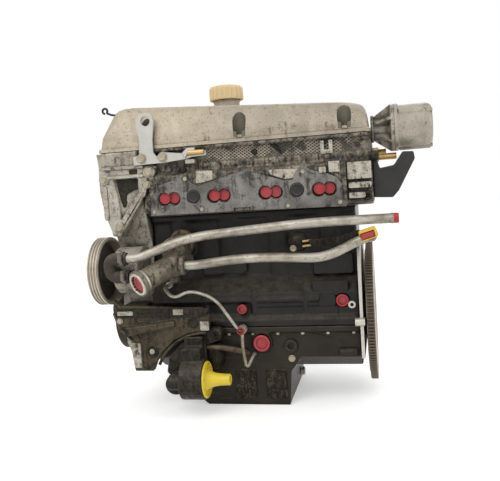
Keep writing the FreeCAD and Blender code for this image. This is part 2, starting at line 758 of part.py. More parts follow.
def head_gasket():
    """Thin plate between block and head, with a hole for each cylinder."""
    sheet_body = box("gasket_sheet", (block_front, block_rear), (-s.deck_half, s.deck_half), (deck_z, head_z))
    holes = [rod(f"fire_ring_{n}", "Z", deck_z - 1, head_z + 1, (x, 0), s.bore / 2 + 1.5, 16)
             for n, x in enumerate(cylinders)]
    keep("head_gasket", cut("gasket_plate", sheet_body, holes))


def cam_bore():
    """Corner radius of the eight-sided cam bearing bores."""
    return around(s.cam_radius + s.running_gap, CAM_SIDES)


def cam_bearing_caps():
    """Ten caps that hold the camshafts down, on towers of the head."""
    caps = []
    for side in (-1, 1):
        y = side * s.cam_half
        for number, x in enumerate(bearings):
            low, high = x - 11, x + 11
            if number == 0:
                low = block_front
            outline = [(y - 24, joint_z), (y + 24, joint_z), (y + 24, joint_z + 14), (y + 12, cam_z + 21),
                       (y - 12, cam_z + 21), (y - 24, joint_z + 14)]
            cap = prism(f"cam_cap_{side + 1}_{number}", "YZ", outline, low, high)
            bore = rod("cam_cap_bore", "X", low - 1, high + 1, (y, cam_z), cam_bore(), CAM_SIDES)
            caps.append(cut(f"cam_bearing_{side + 1}_{number}", cap, [bore]))
    keep("cam_bearing_caps", group("cam_caps", caps))


def piston_group(name, numbers):
    """Two pistons that rise together, each with its gudgeon pin."""
    radius = s.bore / 2 - s.running_gap
    parts = []
    for number in numbers:
        x = cylinders[number]
        pin_z = s.crank_radius * throws[number] + s.rod_length
        crown, skirt = pin_z + s.compression_height, pin_z - 24
        blank = rod(f"piston_blank_{number}", "Z", skirt, crown, (x, 0), radius, 20)
        hollow = rod(f"piston_hollow_{number}", "Z", skirt - 1, pin_z + 19, (x, 0), radius - 5, 8)
        shell = cut(f"piston_shell_{number}", blank, [hollow])
        bosses = [box(f"piston_boss_{number}_{way + 1}", (x + way * 24 - 11, x + way * 24 + 11), (-14, 14),
                      (pin_z - 14, pin_z + 20)) for way in (-1, 1)]
        # the skirt is cut away beside the pin, so it clears the crank's balance weights
        sides = [box(f"piston_side_{number}_{way + 1}", (x + way * 48 - 13, x + way * 48 + 13), (-44, 44),
                     (skirt - 1, pin_z + 10)) for way in (-1, 1)]
        eye = rod(f"piston_eye_{number}", "X", x - 40, x + 40, (0, pin_z), s.gudgeon_radius, 8)
        parts.append(cut(f"piston_{number}", join(f"piston_body_{number}", [shell] + bosses), sides + [eye]))
        parts.append(rod(f"gudgeon_pin_{number}", "X", x - 34, x + 34, (0, pin_z), s.gudgeon_radius, 8))
    keep(name, group(f"{name}_set", parts))


def connecting_rods():
    """Four rods, each an eye at both ends joined by a tapered shank."""
    rods = []
    for number, (x, up) in enumerate(zip(cylinders, throws)):
        big_z = s.crank_radius * up
        small_z = big_z + s.rod_length
        half = s.crankpin_width / 2 - s.gap
        shank = [(-16, big_z + 24), (16, big_z + 24), (10, small_z - 10), (-10, small_z - 10)]
        parts = [
            rod(f"big_eye_{number}", "X", x - half, x + half, (0, big_z), s.crankpin_radius + 9, 12),
            rod(f"small_eye_{number}", "X", x - half, x + half, (0, small_z), s.gudgeon_radius + 6, 8),
            prism(f"shank_{number}", "YZ", shank, x - 7, x + 7),
        ]
        holes = [
            rod(f"big_bore_{number}", "X", x - half - 1, x + half + 1, (0, big_z),
                around(s.crankpin_radius + s.running_gap, 12), 12),
            rod(f"small_bore_{number}", "X", x - half - 1, x + half + 1, (0, small_z),
                s.gudgeon_radius + s.gap, 8),
        ]
        rods.append(cut(f"rod_{number}", join(f"rod_body_{number}", parts), holes))
    keep("connecting_rods", group("rods", rods))


def flywheel():
    """Turned disc with the friction face behind, six clutch bolt holes near its rim."""
    rear, bore = 0, 16
    outline = [
        (crank_flange_x, bore), (crank_flange_x, 55), (crank_flange_x + 4, 60),
        (crank_flange_x + 4, s.flywheel_radius), (rear, s.flywheel_radius), (rear, 76), (-8, 70), (-8, bore),
    ]
    disc = spin("flywheel_disc", "X", outline, (0, 0), WHEEL_SIDES)
    holes = []
    for number in range(CLUTCH_BOLTS):
        y, z = on_circle(s.clutch_circle, number, CLUTCH_BOLTS)
        holes.append(rod(f"clutch_hole_{number}", "X", crank_flange_x, 1, (y, z), s.clutch_hole_radius))
    for number in range(CRANK_BOLTS):
        y, z = on_circle(s.crank_bolt_circle, number, CRANK_BOLTS)
        holes.append(rod(f"crank_bolt_hole_{number}", "X", crank_flange_x - 1, 1, (y, z), 6, 6))
    keep("flywheel", cut("flywheel_body", disc, holes))


def on_circle(radius, number, count):
    """One of a count of equally spaced points on a circle, the first at +Y."""
    angle = 2 * math.pi * number / count
    return radius * math.cos(angle), radius * math.sin(angle)


def crank_bolts():
    """Six bolts of the flywheel and the one that holds the pulley on the crankshaft's nose."""
    bolts = []
    for number in range(CRANK_BOLTS):
        centre = on_circle(s.crank_bolt_circle, number, CRANK_BOLTS)
        shank = rod(f"crank_bolt_shank_{number}", "X", crank_flange_x, -7, centre, 5, 6)
        head = rod(f"crank_bolt_head_{number}", "X", -8, -1, centre, 9.5, 6)
        bolts.append(join(f"crank_bolt_{number}", [shank, head]))
    head = rod("nose_bolt_head", "X", pulley_front - 14, pulley_front - 2, (0, 0), 14, 6)
    washer = rod("nose_bolt_washer", "X", pulley_front - 3, pulley_front, (0, 0), 22, 12)
    bolts.append(join("nose_bolt", [head, washer]))
    keep("crank_bolts", group("crank_bolt_set", bolts))


def ring_gear():
    """Starter teeth on a ring shrunk on the flywheel's rim."""
    teeth, tip = int(float(s.ring_teeth)), float(s.ring_radius)
    root, step = tip - float(s.ring_tooth_depth), 2 * math.pi / teeth
    points = []
    for number in range(teeth):
        for share, radius in ((0, root), (0.5, tip)):
            angle = step * (number + share)
            points.append(Vector(0, radius * math.cos(angle), radius * math.sin(angle)))
    ring = slab(Part.makePolygon(points + points[:1]), float(s.ring_width))
    ring.translate(Vector(-1 - float(s.ring_width), 0, 0))
    radius = float(s.flywheel_radius)
    seat = faceted(Vector(-30, 0, 0), AHEAD["X"], [(0, 0), (0, radius), (40, radius), (40, 0)], WHEEL_SIDES)
    keep("ring_gear", form("starter_ring", ring.cut(seat)))


def crank_pulley():
    """Damper pulley with two belt grooves, on the crankshaft's nose."""
    front, rear, rim = pulley_front, pulley_rear, s.damper_radius
    bore = around(NOSE_RADIUS, 28) + 0.02
    outline = [
        (front, bore), (front, 26), (front + 8, 28), (front + 8, 58), (front, rim - 6), (front, rim),
        (front + 8, rim), (front + 11, rim - 7), (front + 14, rim), (rear, rim), (rear, bore),
    ]
    keep("crank_pulley", spin("pulley_turned", "X", outline, (0, 0), 28))


def water_pump():
    """Pump housing on the timing case, and its pulley, shaft and impeller as one turning set."""
    centre, seat = (s.pump_y, s.pump_z), -s.case_half
    outline = [
        (case_front - 4, 0), (case_front - 4, 22), (case_front + 8, 30), (case_front + 12, 46),
        (block_front - 8, 46), (block_front - 8, 0),
    ]
    body = spin("pump_turned", "X", outline, centre, 24)
    holes = [
        box("pump_pad", (case_front - 10, block_front + 20), (seat, 60), (0, 200)),
        rod("pump_shaft_hole", "X", case_front - 5, block_front - 20, centre, 8 + s.gap, 12),
        rod("pump_chamber", "X", case_front + 24, block_front - 14, centre, 20, 12),
    ]
    keep("water_pump_housing", cut("pump_housing", body, holes))

    front, rear = pulley_rear - s.pump_pulley_width, pulley_rear
    rim = s.pump_pulley_radius
    outline = [
        (front, 0), (front, rim - 9), (front + 1, rim - 2), (front + 3, rim), (rear - 3, rim),
        (rear, rim - 2),
        (rear, rim - 6), (front + 6, rim - 8), (front + 6, 22), (rear - 4, 20), (rear - 4, 8), (rear - 4, 0),
    ]
    turned_pulley = spin("pump_pulley_turned", "X", outline, centre, 28)
    shaft = rod("pump_shaft", "X", rear - 5, block_front - 30, centre, 8, 12)
    impeller = rod("impeller", "X", block_front - 40, block_front - 30, centre, 18, 12)
    keep("water_pump_pulley", join("pump_pulley_body", [turned_pulley, shaft, impeller]))


def timing_cover():
    """Cast case over the chain, wider at the top, with a ribbed gusset on the intake side."""
    wall, half, top = s.case_wall, s.case_half, s.cover_half
    def half_outline(inset, roof):
        return mirrored([
            (58 - inset, -78 + inset), (half - inset, -40), (half - inset, 160), (96 - inset, 190),
            (119 - inset, 270), (top - inset, 330), (top - inset, roof),
        ])
    shell = prism("case_outer", "YZ", half_outline(0, joint_z), case_front, block_front)
    web = [
        (case_front - 14, joint_z - 2), (case_front - 11, joint_z - 27), (case_front - 12, joint_z - 45),
        (case_front - 13, joint_z - 72), (case_front - 6, joint_z - 120), (case_front + 4, joint_z - 148),
        (case_front + 7, joint_z - 163), (case_front + 24, joint_z - 164), (block_front - 31, joint_z - 141),
        (block_front, joint_z - 98), (block_front, joint_z - 2),
    ]
    gusset = prism("case_gusset", "XZ", web, -s.cover_half, -half + 2)
    ear = [
        (block_front - 1, joint_z - 92), (block_front + 8, joint_z - 88), (block_front + 16, joint_z - 66),
        (block_front + 16, joint_z - 40), (block_front + 28, joint_z - 40), (block_front + 36, joint_z - 34),
        (block_front + 26, joint_z - 28), (block_front - 1, joint_z - 28),
    ]
    flank = prism("case_ear", "XZ", ear, -s.cover_half + 1, -s.head_half)
    window = [
        (case_front + 17, joint_z - 51), (block_front - 4, joint_z - 52), (block_front - 5, joint_z - 68),
        (block_front - 4, joint_z - 82), (block_front - 12, joint_z - 104), (case_front + 34, joint_z - 136),
        (case_front + 27, joint_z - 122), (case_front + 24, joint_z - 83),
    ]
    inside = prism("case_inner", "YZ", half_outline(wall, joint_z + 1), case_front + wall, block_front - 4)
    holes = [
        inside,
        prism("gusset_window", "XZ", window, -s.cover_half - 1, -s.cover_half + 8),
        rod("case_nose_hole", "X", case_front - 1, case_front + 20, (0, 0), NOSE_RADIUS + 2 * s.gap, 16),
        rod("case_rear_hole", "X", block_front - 20, block_front + 1, (0, 0), s.main_radius + 2, 16),
    ]
    for side in (-1, 1):
        holes.append(rod(f"case_cam_hole_{side + 1}", "X", block_front - 20, block_front + 1,
                         (side * s.cam_half, cam_z), 24, 12))
    body = join("case_body", [shell, gusset, flank])
    # the gusset stands outside the case, so only the case is hollow
    keep("timing_cover", cut("case", body, holes))


def chain_run(offset, share):
    """A point along the chain's run on the exhaust side, at an offset outside its pitch line."""
    (_, small), (cam, large), _ = cam_circles(offset)
    lean = math.acos((small - large) / math.hypot(*cam))
    normal = math.atan2(cam[1], cam[0]) - lean
    start = (small * math.cos(normal), small * math.sin(normal))
    end = (cam[0] + large * math.cos(normal), cam[1] + large * math.sin(normal))
    return tuple(low + (high - low) * share for low, high in zip(start, end))


GUIDE_THICKNESS = 5
CHAIN_DEPTH = 3.5


def chain_guides():
    """Two rails beside the chain's long runs, pinned to the back wall of the timing case."""
    near = CHAIN_DEPTH + float(s.gap)
    far = near + GUIDE_THICKNESS
    rails = []
    for side in (-1, 1):
        corners = [chain_run(near, 0.12), chain_run(far, 0.12), chain_run(far, 0.74), chain_run(near, 0.74)]
        points = [Vector(float(chain_x) - 5.5, side * y, z) for y, z in corners]
        rail = slab(Part.makePolygon(points + points[:1]), 11)
        for share in (0.16, 0.7):
            y, z = chain_run(near + GUIDE_THICKNESS / 2, share)
            length = float(block_front) - 4 - float(chain_x)
            pin = faceted(Vector(float(chain_x), side * y, z), Vector(1, 0, 0),
                          [(0, 0), (0, 2.4), (length, 2.4), (length, 0)], 8)
            rail = rail.fuse(pin)
        rails.append(rail)
    keep("chain_guides", form("guides", Part.makeCompound(rails)))


def chain_tensioner():
    """Body on the case's wall with a plunger that presses the exhaust side's guide."""
    level = 70
    outer = chain_run(CHAIN_DEPTH + float(s.gap) + GUIDE_THICKNESS, level / float(cam_z))[0]
    inner = s.case_half - s.case_wall
    body = rod("tensioner_body", "Y", inner - 12, inner, (chain_x, level), 10, 8)
    hole = rod("tensioner_bore", "Y", inner - 13, inner - 1, (chain_x, level), 5 + 2 * s.gap, 8)
    keep("chain_tensioner", cut("tensioner", body, [hole]))
    keep("tensioner_plunger", rod("plunger", "Y", outer + 4.5, inner - 3, (chain_x, level), 5, 8))


def cam_cover():
    """Cast shell, taller over the chain, with screw pockets along both sides."""
    front, rear = case_front - 10, head_rear
    top = joint_z + s.cover_front_rise
    low = top - s.cover_fall

    def cover_form(name, inset):
        side = [
            (front + inset, joint_z - (1 if inset else 0)), (front + 3 + inset, joint_z + 28),
            (front + 17 + inset, top - 40),
            (front + 22 + inset, top - 18), (front + 32 + inset, top - 3 - inset),
            (front + 44 + inset, top - inset),
            (rear - 26 - inset, low + 3 - inset), (rear - 15 - inset, low - 3 - inset),
            (rear - 4 - inset, low - 18 - inset),
            (rear - inset, low - 44), (rear - inset, joint_z - (1 if inset else 0)),
        ]
        section = mirrored([
            (s.cover_half - 2 - inset, joint_z - (1 if inset else 0)),
            (s.cover_half - 3 - inset, joint_z + 30),
            (s.cover_half - 19 - inset, top - 12 - inset), (s.cover_half - 32 - inset, top - inset),
        ])
        shape = doc.addObject("Part::Common", name)
        shape.Base = prism(f"{name}_side", "XZ", side, -s.cover_half, s.cover_half)
        shape.Tool = prism(f"{name}_section", "YZ", section, front - 1, rear + 1)
        return shape

    outer = cover_form("cover_outer", 0)
    hollow = cover_form("cover_inner", s.cover_wall)
    pockets = [block_front + 20, (cylinders[1] + cylinders[2]) / 2 - 4, head_rear - 45]
    columns, scallops = [], []
    for x in pockets:
        for side in (-1, 1):
            centre = (x, side * (s.cover_half - 5))
            columns.append(rod("screw_column", "Z", joint_z - 2, top + 5, centre, 14, 12))
            scallops.append(rod("screw_pocket", "Z", rim_z, top + 5, centre, 9, 8))
    towers = [rod(f"plug_tube_{n}", "Z", joint_z - 2, top + 5, (x, 0), 17, 8)
              for n, x in enumerate(cylinders)]
    wells = [rod(f"plug_tube_hole_{n}", "Z", joint_z - 1, top + 5, (x, 0), 13, 8)
             for n, x in enumerate(cylinders)]
    neck_centre = (cylinders[1] + CAP_FROM_CYLINDER, CAP_Y)
    neck = rod("filler_neck", "Z", low + 4, CAP_Z, neck_centre, s.cap_radius - 9, 24)
    neck_hole = rod("filler_hole", "Z", low - 20, CAP_Z + 1, neck_centre, s.cap_radius - 13, 16)
    rim = box("cover_rim", (front, rear), (-s.cover_half, s.cover_half), (joint_z, rim_z))
    space = cut("cover_space", hollow, columns + towers)
    body = join("cover_body", [outer, rim, neck])
    keep("cam_cover", cut("cover", body, [space] + scallops + wells + [neck_hole]))


def oil_filler_cap():
    """Ribbed cap that turns a quarter turn in the cover's neck."""
    centre = (cylinders[1] + CAP_FROM_CYLINDER, CAP_Y)
    top = CAP_Z + s.cap_height
    skirt = CAP_Z + s.gap
    outline = [
        (CAP_Z - 10, 0), (CAP_Z - 10, s.cap_radius - 14), (skirt, s.cap_radius - 14), (skirt, s.cap_radius),
        (top - 5, s.cap_radius), (top, s.cap_radius - 5), (top, 0),
    ]
    cap = spin("cap_turned", "Z", outline, centre, 30)
    flutes = []
    for number in range(10):
        x, y = on_circle(s.cap_radius + 3, number, 10)
        flutes.append(rod(f"cap_flute_{number}", "Z", skirt - 1, top + 1, (centre[0] + x, centre[1] + y),
                          6, 6))
    keep("oil_filler_cap", cut("cap", cap, flutes))


def fasteners():
    """Cam cover screws, bolts of the lifting eyes, exhaust studs and the sump's drain plug."""
    parts = []
    for x in (block_front + 20, (cylinders[1] + cylinders[2]) / 2 - 4, head_rear - 45):
        for side in (-1, 1):
            parts.append(rod("cover_screw", "Z", rim_z, rim_z + 6, (x, side * (s.cover_half - 5)), 6, 6))
    for x, side in eye_bolts():
        face = side * (s.cover_half + 6)
        low, high = sorted((face, face + side * 6), key=float)
        head = rod("eye_bolt_head", "Y", low, high, (x, joint_z - 17), 9, 6)
        low, high = sorted((face, face - side * 14), key=float)
        shank = rod("eye_bolt_shank", "Y", low, high, (x, joint_z - 17), 4, 8)
        parts.append(join("eye_bolt", [head, shank]))
    for x in cylinders:
        for dx, dz in ((-26, 20), (26, -18)):
            parts.append(rod("stud", "Y", s.exhaust_face_y, s.exhaust_face_y + 24, (x + dx, s.port_z + dz),
                             4, 6))
    parts.append(rod("sump_drain", "X", s.well_rear - 9, s.well_rear + 8, DRAIN, 8, 6))
    keep("fasteners", group("fastener_set", parts))


def lifting_eyes():
    """Bent-strip hangers: one at the front on the intake side, one at the rear on the other."""
    face = -s.cover_half - 1
    x, z = block_front, joint_z
    front = [
        (x - 7, z - 29), (x + 52, z - 28), (x + 100, z - 24), (x + 110, z - 21), (x + 137, z - 20),
        (x + 137, z - 11), (x + 110, z - 7), (x + 104, z - 8), (x + 100, z - 14), (x + 52, z - 8),
        (x + 40, z - 15), (x + 34, z - 7), (x + 34, z + 16), (x + 39, z + 52), (x + 36, z + 64),
        (x + 24, z + 68), (x + 12, z + 66), (x + 4, z + 55), (x + 3, z + 43), (x + 8, z + 18),
        (x + 6, z - 10),
        (x - 7, z - 13),
    ]
    plate = prism("front_eye", "XZ", front, face - 5, face)
    holes = [rod("front_eye_hole", "Y", face - 6, face + 1, (x + 23, z + 52), 9)]
    holes += [rod("eye_bolt_way", "Y", face - 6, face + 1, (place_x, z - 17), 4.3, 8)
              for place_x, side in eye_bolts() if side < 0]
    hangers = [cut("front_hanger", plate, holes)]

    x = head_rear
    rear = [
        (x - 60, z - 27), (x - 5, z - 27), (x - 5, z - 7), (x - 14, z + 10), (x - 14, z + 48),
        (x - 24, z + 58),
        (x - 40, z + 58), (x - 50, z + 48), (x - 50, z + 10), (x - 60, z - 7),
    ]
    plate = prism("rear_eye", "XZ", rear, s.cover_half + 1, s.cover_half + 6)
    holes = [rod("rear_eye_hole", "Y", s.cover_half, s.cover_half + 7, (x - 32, z + 40), 9)]
    holes += [rod("eye_bolt_way", "Y", s.cover_half, s.cover_half + 7, (place_x, z - 17), 4.3, 8)
              for place_x, side in eye_bolts() if side > 0]
    hangers.append(cut("rear_hanger", plate, holes))
    keep("lifting_eyes", group("hangers", hangers))


def intake_port_plate():
    """Gasket plate on the intake flange, waved along its top edge."""
    left, right, z = cylinders[0] - 38, cylinders[3] + 38, s.port_z
    outline = [
        (left, z - 30), (left + 1, z - 16), (left + 7, z + 6), (left + 22, z + 28), (left + 46, z + 34),
        (left + 62, z + 43), (left + 74, z + 43), (left + 84, z + 28), (left + 98, z + 21),
        (left + 142, z + 32),
        (left + 184, z + 44), (left + 208, z + 38), (left + 261, z + 20), (left + 276, z + 21),
        (left + 285, z + 38), (left + 298, z + 45), (left + 310, z + 36), (left + 340, z + 27),
        (right - 15, z + 20),
        (right - 6, z + 7), (right - 5, z - 20), (right, z - 26), (right, z - 33),
        (left + 195, z - 30), (left + 195, z - 24), (left + 163, z - 24), (left + 163, z - 30),
    ]
    plate = prism("port_plate", "XZ", outline, s.port_face_y - 4, s.port_face_y)
    holes = []
    for number, x in enumerate(cylinders):
        for way in (-1, 1):
            holes.append(rod(f"plate_port_{number}_{way + 1}", "Y", s.port_face_y - 5, s.port_face_y + 1,
                             (x + way * 10, z), 13.5, 12))
    for x, z_hole in plug_spots():
        holes.append(rod("plate_plug_hole", "Y", s.port_face_y - 5, s.port_face_y + 1, (x, z_hole), 13, 16))
    keep("intake_port_plate", cut("plate_with_ports", plate, holes))


def plug_spots():
    """The two blanked passages between the outer pairs of ports."""
    middle = s.cylinder_pitch / 2
    return [(cylinders[0] + middle, s.port_z + 2), (cylinders[2] + middle, s.port_z + 2)]


def intake_core_plugs():
    """Black caps over the flange's two blanked passages."""
    plugs = [rod("core_plug", "Y", s.port_face_y - 6, s.port_face_y, spot_place, 12.6, 16)
             for spot_place in plug_spots()]
    keep("intake_core_plugs", group("core_plugs", plugs))


def transport_plugs():
    """Red plastic plugs in every opening: ports, coolant outlet, pipe ends and block holes."""
    plugs = []
    for number, x in enumerate(cylinders):
        pair = [rod(f"port_plug_{number}_{way + 1}", "Y", s.port_face_y - 3 + way, s.port_face_y + 14,
                    (x + way * 10, s.port_z), 11.2, 12) for way in (-1, 1)]
        plugs.append(join(f"port_plug_{number}", pair))
        plugs.append(box(f"exhaust_plug_{number}", (x - 16.7, x + 16.7),
                         (s.exhaust_face_y - 10, s.exhaust_face_y + 2),
                         (s.port_z - 10.7, s.port_z + 10.7)))
    plugs.append(rod("side_plug", "Y", -s.skirt_half - 4, -s.skirt_half + 8, (cylinders[3] + 20, 41), 11.7,
                     16))
    plugs.append(rod("sump_plug", "Y", -s.rail_half - 7, -s.rail_half + 6, SUMP_PLUG, 15.7, 16))
    plugs.append(rod("rail_plug", "Y", -s.skirt_half - 14, -s.skirt_half, (cylinders[1] + 27, 31), 9, 12))
    plugs.append(rod("pipe_plug", "X", UPPER_PIPE[-1][0], UPPER_PIPE[-1][0] + 5, UPPER_PIPE[-1][1:], 8.5, 10))
    end, way, _ = spigot_frame()
    bung = float(s.spigot_radius) - 4.4
    plugs.append(form("outlet_plug", faceted(end - way * 12, way, [(0, 0), (0, bung), (8, bung), (8, 0)],
                                             16)))
    x, y, z = LOWER_PIPE[-1]
    plugs.append(rod("flange_plug", "Y", y - 12, y - 6, (x, z), 8, 12))
    keep("transport_plugs", group("plugs", plugs))


def spigot_frame():
    """The coolant outlet's open end and the way it points."""
    start, end = Vector(*OUTLET_CORE), Vector(*SPIGOT_END)
    return end, (end - start).normalize(), (end - start).Length


def bar(start, way, length, radius, sides=16):
    """A many-sided rod from a point along a direction."""
    return faceted(Vector(*start), Vector(*way), [(0, 0), (0, radius), (length, radius), (length, 0)], sides)


def coolant_outlet():
    """Thermostat housing on the block's side with a beaded hose spigot."""
    end, way, length = spigot_frame()
    radius = float(s.spigot_radius)
    x, y, z = OUTLET_CORE
    depth = OUTLET_SEAT_Y - y
    dome = [(-26, 0), (-22, 15), (-11, 24), (0, 26), (depth, 26), (depth, 0)]
    parts = [
        bar((x, y - 4, OUTLET_Z), (0, 1, 0), depth + 4, 24),
        faceted(Vector(x, y, z), Vector(0, 1, 0), dome, 16),
        bar((x, y, z), way, length, radius),
        bar(end - way * 11, way, 9, radius + 4.5),
        bar(HOSE[-1], (1, 0, 0), 66, 9, 12),
        bar(Vector(*LOWER_PIPE[0]) - Vector(8, 0, 0), (1, 0, 0), 8, 18, 12),
    ]
    bore = bar(end - way * 44, way, 45, radius - 4)
    keep("coolant_outlet", form("outlet", parts[0].fuse(parts[1:]).cut(bore)))


def pipes():
    """Steel coolant pipes, the moulded hose, its clamps and the oil feed pipe."""
    radius = float(s.coolant_pipe_radius)
    keep("coolant_pipe_upper", form("upper_pipe", tube(UPPER_PIPE, radius, 60)))
    keep("coolant_pipe_lower", form("lower_pipe", tube(LOWER_PIPE, radius, 60)))
    hose_radius = float(s.hose_radius)
    keep("coolant_hose", form("hose", tube(HOSE, hose_radius, 17, 12)))
    clamps = []
    for x, y, z in (HOSE[0], HOSE[-1]):
        inner, outer = around(hose_radius, 12) + 0.05, around(hose_radius, 12) + 1.8
        band = [(0, inner), (0, outer), (7, outer), (7, inner), (0, inner)]
        clamps.append(faceted(Vector(x - 12, y, z), AHEAD["X"], band, 12))
    keep("hose_clamps", form("clamps", Part.makeCompound(clamps)))
    thin = float(s.oil_pipe_radius)
    feed, drain = tube(OIL_FEED, thin, 14, 6), tube(OIL_DRAIN, thin, 12, 6)
    x, y, z = OIL_FEED[-1]
    banjo = bar((x, y - 8, z), (0, 1, 0), 8 - y - float(s.rail_half), 8, 12)
    keep("oil_feed_pipe", form("oil_pipe", feed.fuse([drain, banjo])))


def pipe_flange():
    """Yellow shipping cap on the lower pipe's oblong flange."""
    x, y, z = LOWER_PIPE[-1]
    plate = box("flange_plate", (x - 18, x + 18), (y - 6, y), (z - 11, z + 11))
    keep("pipe_flange", plate)


def mount_bracket():
    """Cast engine mount arm on the lower intake side, with a ribbed boss."""
    x, z = block_front, 0
    outline = [
        (x - 63, 61), (x - 66, 42), (x - 64, 22), (x - 55, 0), (x - 34, -16), (x - 29, -28), (x - 32, -67),
        (x - 29, -79), (x + 8, -79), (x + 15, -62), (x + 29, -42), (x + 55, -19), (x + 86, -6), (x + 116, -3),
        (x + 125, 9), (x + 128, 26), (x + 110, 42), (x + 70, 42), (x - 10, 48), (x - 51, 49),
    ]
    plate = prism("bracket_plate", "XZ", outline, BRACKET_Y - 14, BRACKET_Y)
    rail = -s.rail_half
    legs = [
        rod("bracket_leg_rear", "Y", BRACKET_Y - 2, rail, (x + 107, 3), 13, 12),
        box("bracket_leg_front", (x - 60, x - 12), (BRACKET_Y - 2, -s.case_half), (14, 44)),
        box("bracket_leg_low", (x - 24, x - 4), (BRACKET_Y - 2, -s.case_half + 0), (-38, -10)),
        prism("bracket_rib", "XZ", [(x - 40, -10), (x + 60, 10), (x + 60, 20), (x - 40, 8)],
              BRACKET_Y - 24, BRACKET_Y - 12),
    ]
    hole = rod("bracket_bolt_hole", "Y", BRACKET_Y - 15, BRACKET_Y + 1, MOUNT_BOLT, 6.5)
    keep("mount_bracket", cut("bracket", join("bracket_body", [plate] + legs), [hole]))


def oil_filter_housing():
    """Filter head low on the intake side; its seat faces the rear and is closed by a plug."""
    x, y, z = FILTER_SEAT
    parts = [
        rod("filter_head", "X", x - 44, x, (y, z), 37, 24),
        box("filter_arm", (x - 42, x - 6), (y + 10, -s.rail_half), (z + 30, s.rail_z - 8)),
        rod("pressure_boss", "X", x - 70, x - 43, (y - 6, z - 4), 15, 12),
        box("filter_neck", (x - 42, x - 6), (y - 10, y + 24), (z + 20, z + 60)),
    ]
    keep("oil_filter_housing", join("filter_body", parts))
    outline = [(x, 0), (x, 34), (x + 5, 34), (x + 8, 27), (x + 38, 12), (x + 47, 9), (x + 47, 0)]
    keep("filter_seat_plug", spin("filter_plug", "X", outline, (y, z), 24))


def sump():
    """Cast oil pan: a shallow tray under the crankcase and a deep well."""
    wall = s.sump_wall
    def tray(inset):
        return mirrored([(70 - inset, -92 + inset), (110 - inset, -64), (110 - inset, s.rail_z - 12)])
    rail = box("sump_rail", (block_front, block_rear), (-s.rail_half, s.rail_half), (s.rail_z - 12, s.rail_z))
    outer = prism("tray_outer", "YZ", tray(0), block_front, block_rear)
    front, rear, floor = s.well_front, s.well_rear, s.sump_floor_z
    well = [
        (front, -70), (front - 3, -120), (front + 5, floor + 13), (front + 20, floor), (rear - 2, floor),
        (rear + 3, -94), (rear + 18, -76), (rear + 18, -62), (front, -62),
    ]
    deep = prism("well_outer", "XZ", well, -108, 96)
    boss = rod("sump_boss", "Y", -s.rail_half - 2, -100, SUMP_PLUG, 20, 16)
    inner_tray = prism("tray_inner", "YZ", tray(wall), block_front + wall, block_rear - wall)
    mouth = box("sump_mouth", (block_front + wall, block_rear - wall), (-98, 98),
                (s.rail_z - 14, s.rail_z + 1))
    well_inner = [
        (front + wall, -66), (front + wall, -122), (front + wall + 8, floor + 16),
        (front + wall + 16, floor + wall),
        (rear - wall, floor + wall), (rear - wall + 2, -94), (rear - wall + 2, -60), (front + wall, -60),
    ]
    deep_inner = prism("well_inner", "XZ", well_inner, -108 + wall, 96 - wall)
    plug_hole = rod("sump_plug_hole", "Y", -s.rail_half - 3, -s.rail_half + 8, SUMP_PLUG, 16, 16)
    drain = rod("drain_hole", "X", rear - 12, rear + 4, DRAIN, 8, 12)
    # the end walls are notched for the first and last bearing caps
    notch = box("cap_notch", (block_front - 1, block_rear + 1), (-46.5, 46.5), (-46.5, s.rail_z + 1))
    body = join("sump_body", [rail, outer, deep, boss])
    keep("sump", cut("pan", body, [inner_tray, mouth, deep_inner, plug_hole, drain, notch]))


def oil_pickup():
    """Strainer in the sump's well on a pipe up to the front bearing cap."""
    floor = float(s.sump_floor_z)
    foot = float(bearings[0]) + 3
    run = [
        (-262, 30, floor + 24), (-262, 30, -90), (-290, 50, -76), (foot, 50, -76), (foot, 24, -70),
        (foot, 24, -46),
    ]
    bell = faceted(Vector(-262, 30, floor + 10), Vector(0, 0, 1), [(0, 0), (0, 24), (16, 10), (16, 0)], 12)
    keep("oil_pickup", form("pickup", tube(run, 5, 14, 8).fuse(bell)))


def rear_plate():
    """Plate between block and gearbox, with a boss near its lower corner."""
    half = s.rail_half + 10
    outline = mirrored([(90, -66), (half, -64), (half, 110), (112, 144), (84, 150)])
    plate = prism("plate_outline", "YZ", outline, block_rear, plate_rear_x)
    boss = rod("plate_boss", "X", block_rear - 9, plate_rear_x + 3, (-s.rail_half - 9, 4), 8, 12)
    hole = rod("plate_hole", "X", block_rear - 1, plate_rear_x + 1, (0, 0), s.crank_bolt_circle + 14, 24)
    ways = [rod(f"gearbox_hole_{n}", "X", block_rear - 1, plate_rear_x + 1, centre, 5.5, 8)
            for n, centre in enumerate(((-118, 96), (118, 96), (-118, -50), (118, -50)))]
    keep("rear_plate", cut("plate", join("plate_body", [plate, boss]), [hole] + ways))


def vacuum_pump():
    """Drum behind the head on the intake cam's axis, carried by a cast neck."""
    centre = (-s.cam_half, cam_z)
    end = head_rear + s.neck_length
    outline = [
        (head_rear, 0), (head_rear, 20), (head_rear + 9, 20), (end - 3, 34), (end - 3, s.drum_radius + 3),
        (end + 3, s.drum_radius + 3), (end + 3, 0),
    ]
    keep("vacuum_pump_neck", spin("neck", "X", outline, centre, 28))
    front, rear = end + 3, end + 3 + s.drum_length
    outline = [
        (front, 0), (front, s.drum_radius + 3), (front + 7, s.drum_radius + 3), (front + 8, s.drum_radius),
        (rear - 7, s.drum_radius), (rear, s.drum_radius - 7), (rear, 0),
    ]
    keep("vacuum_pump_body", spin("drum", "X", outline, centre, 28))


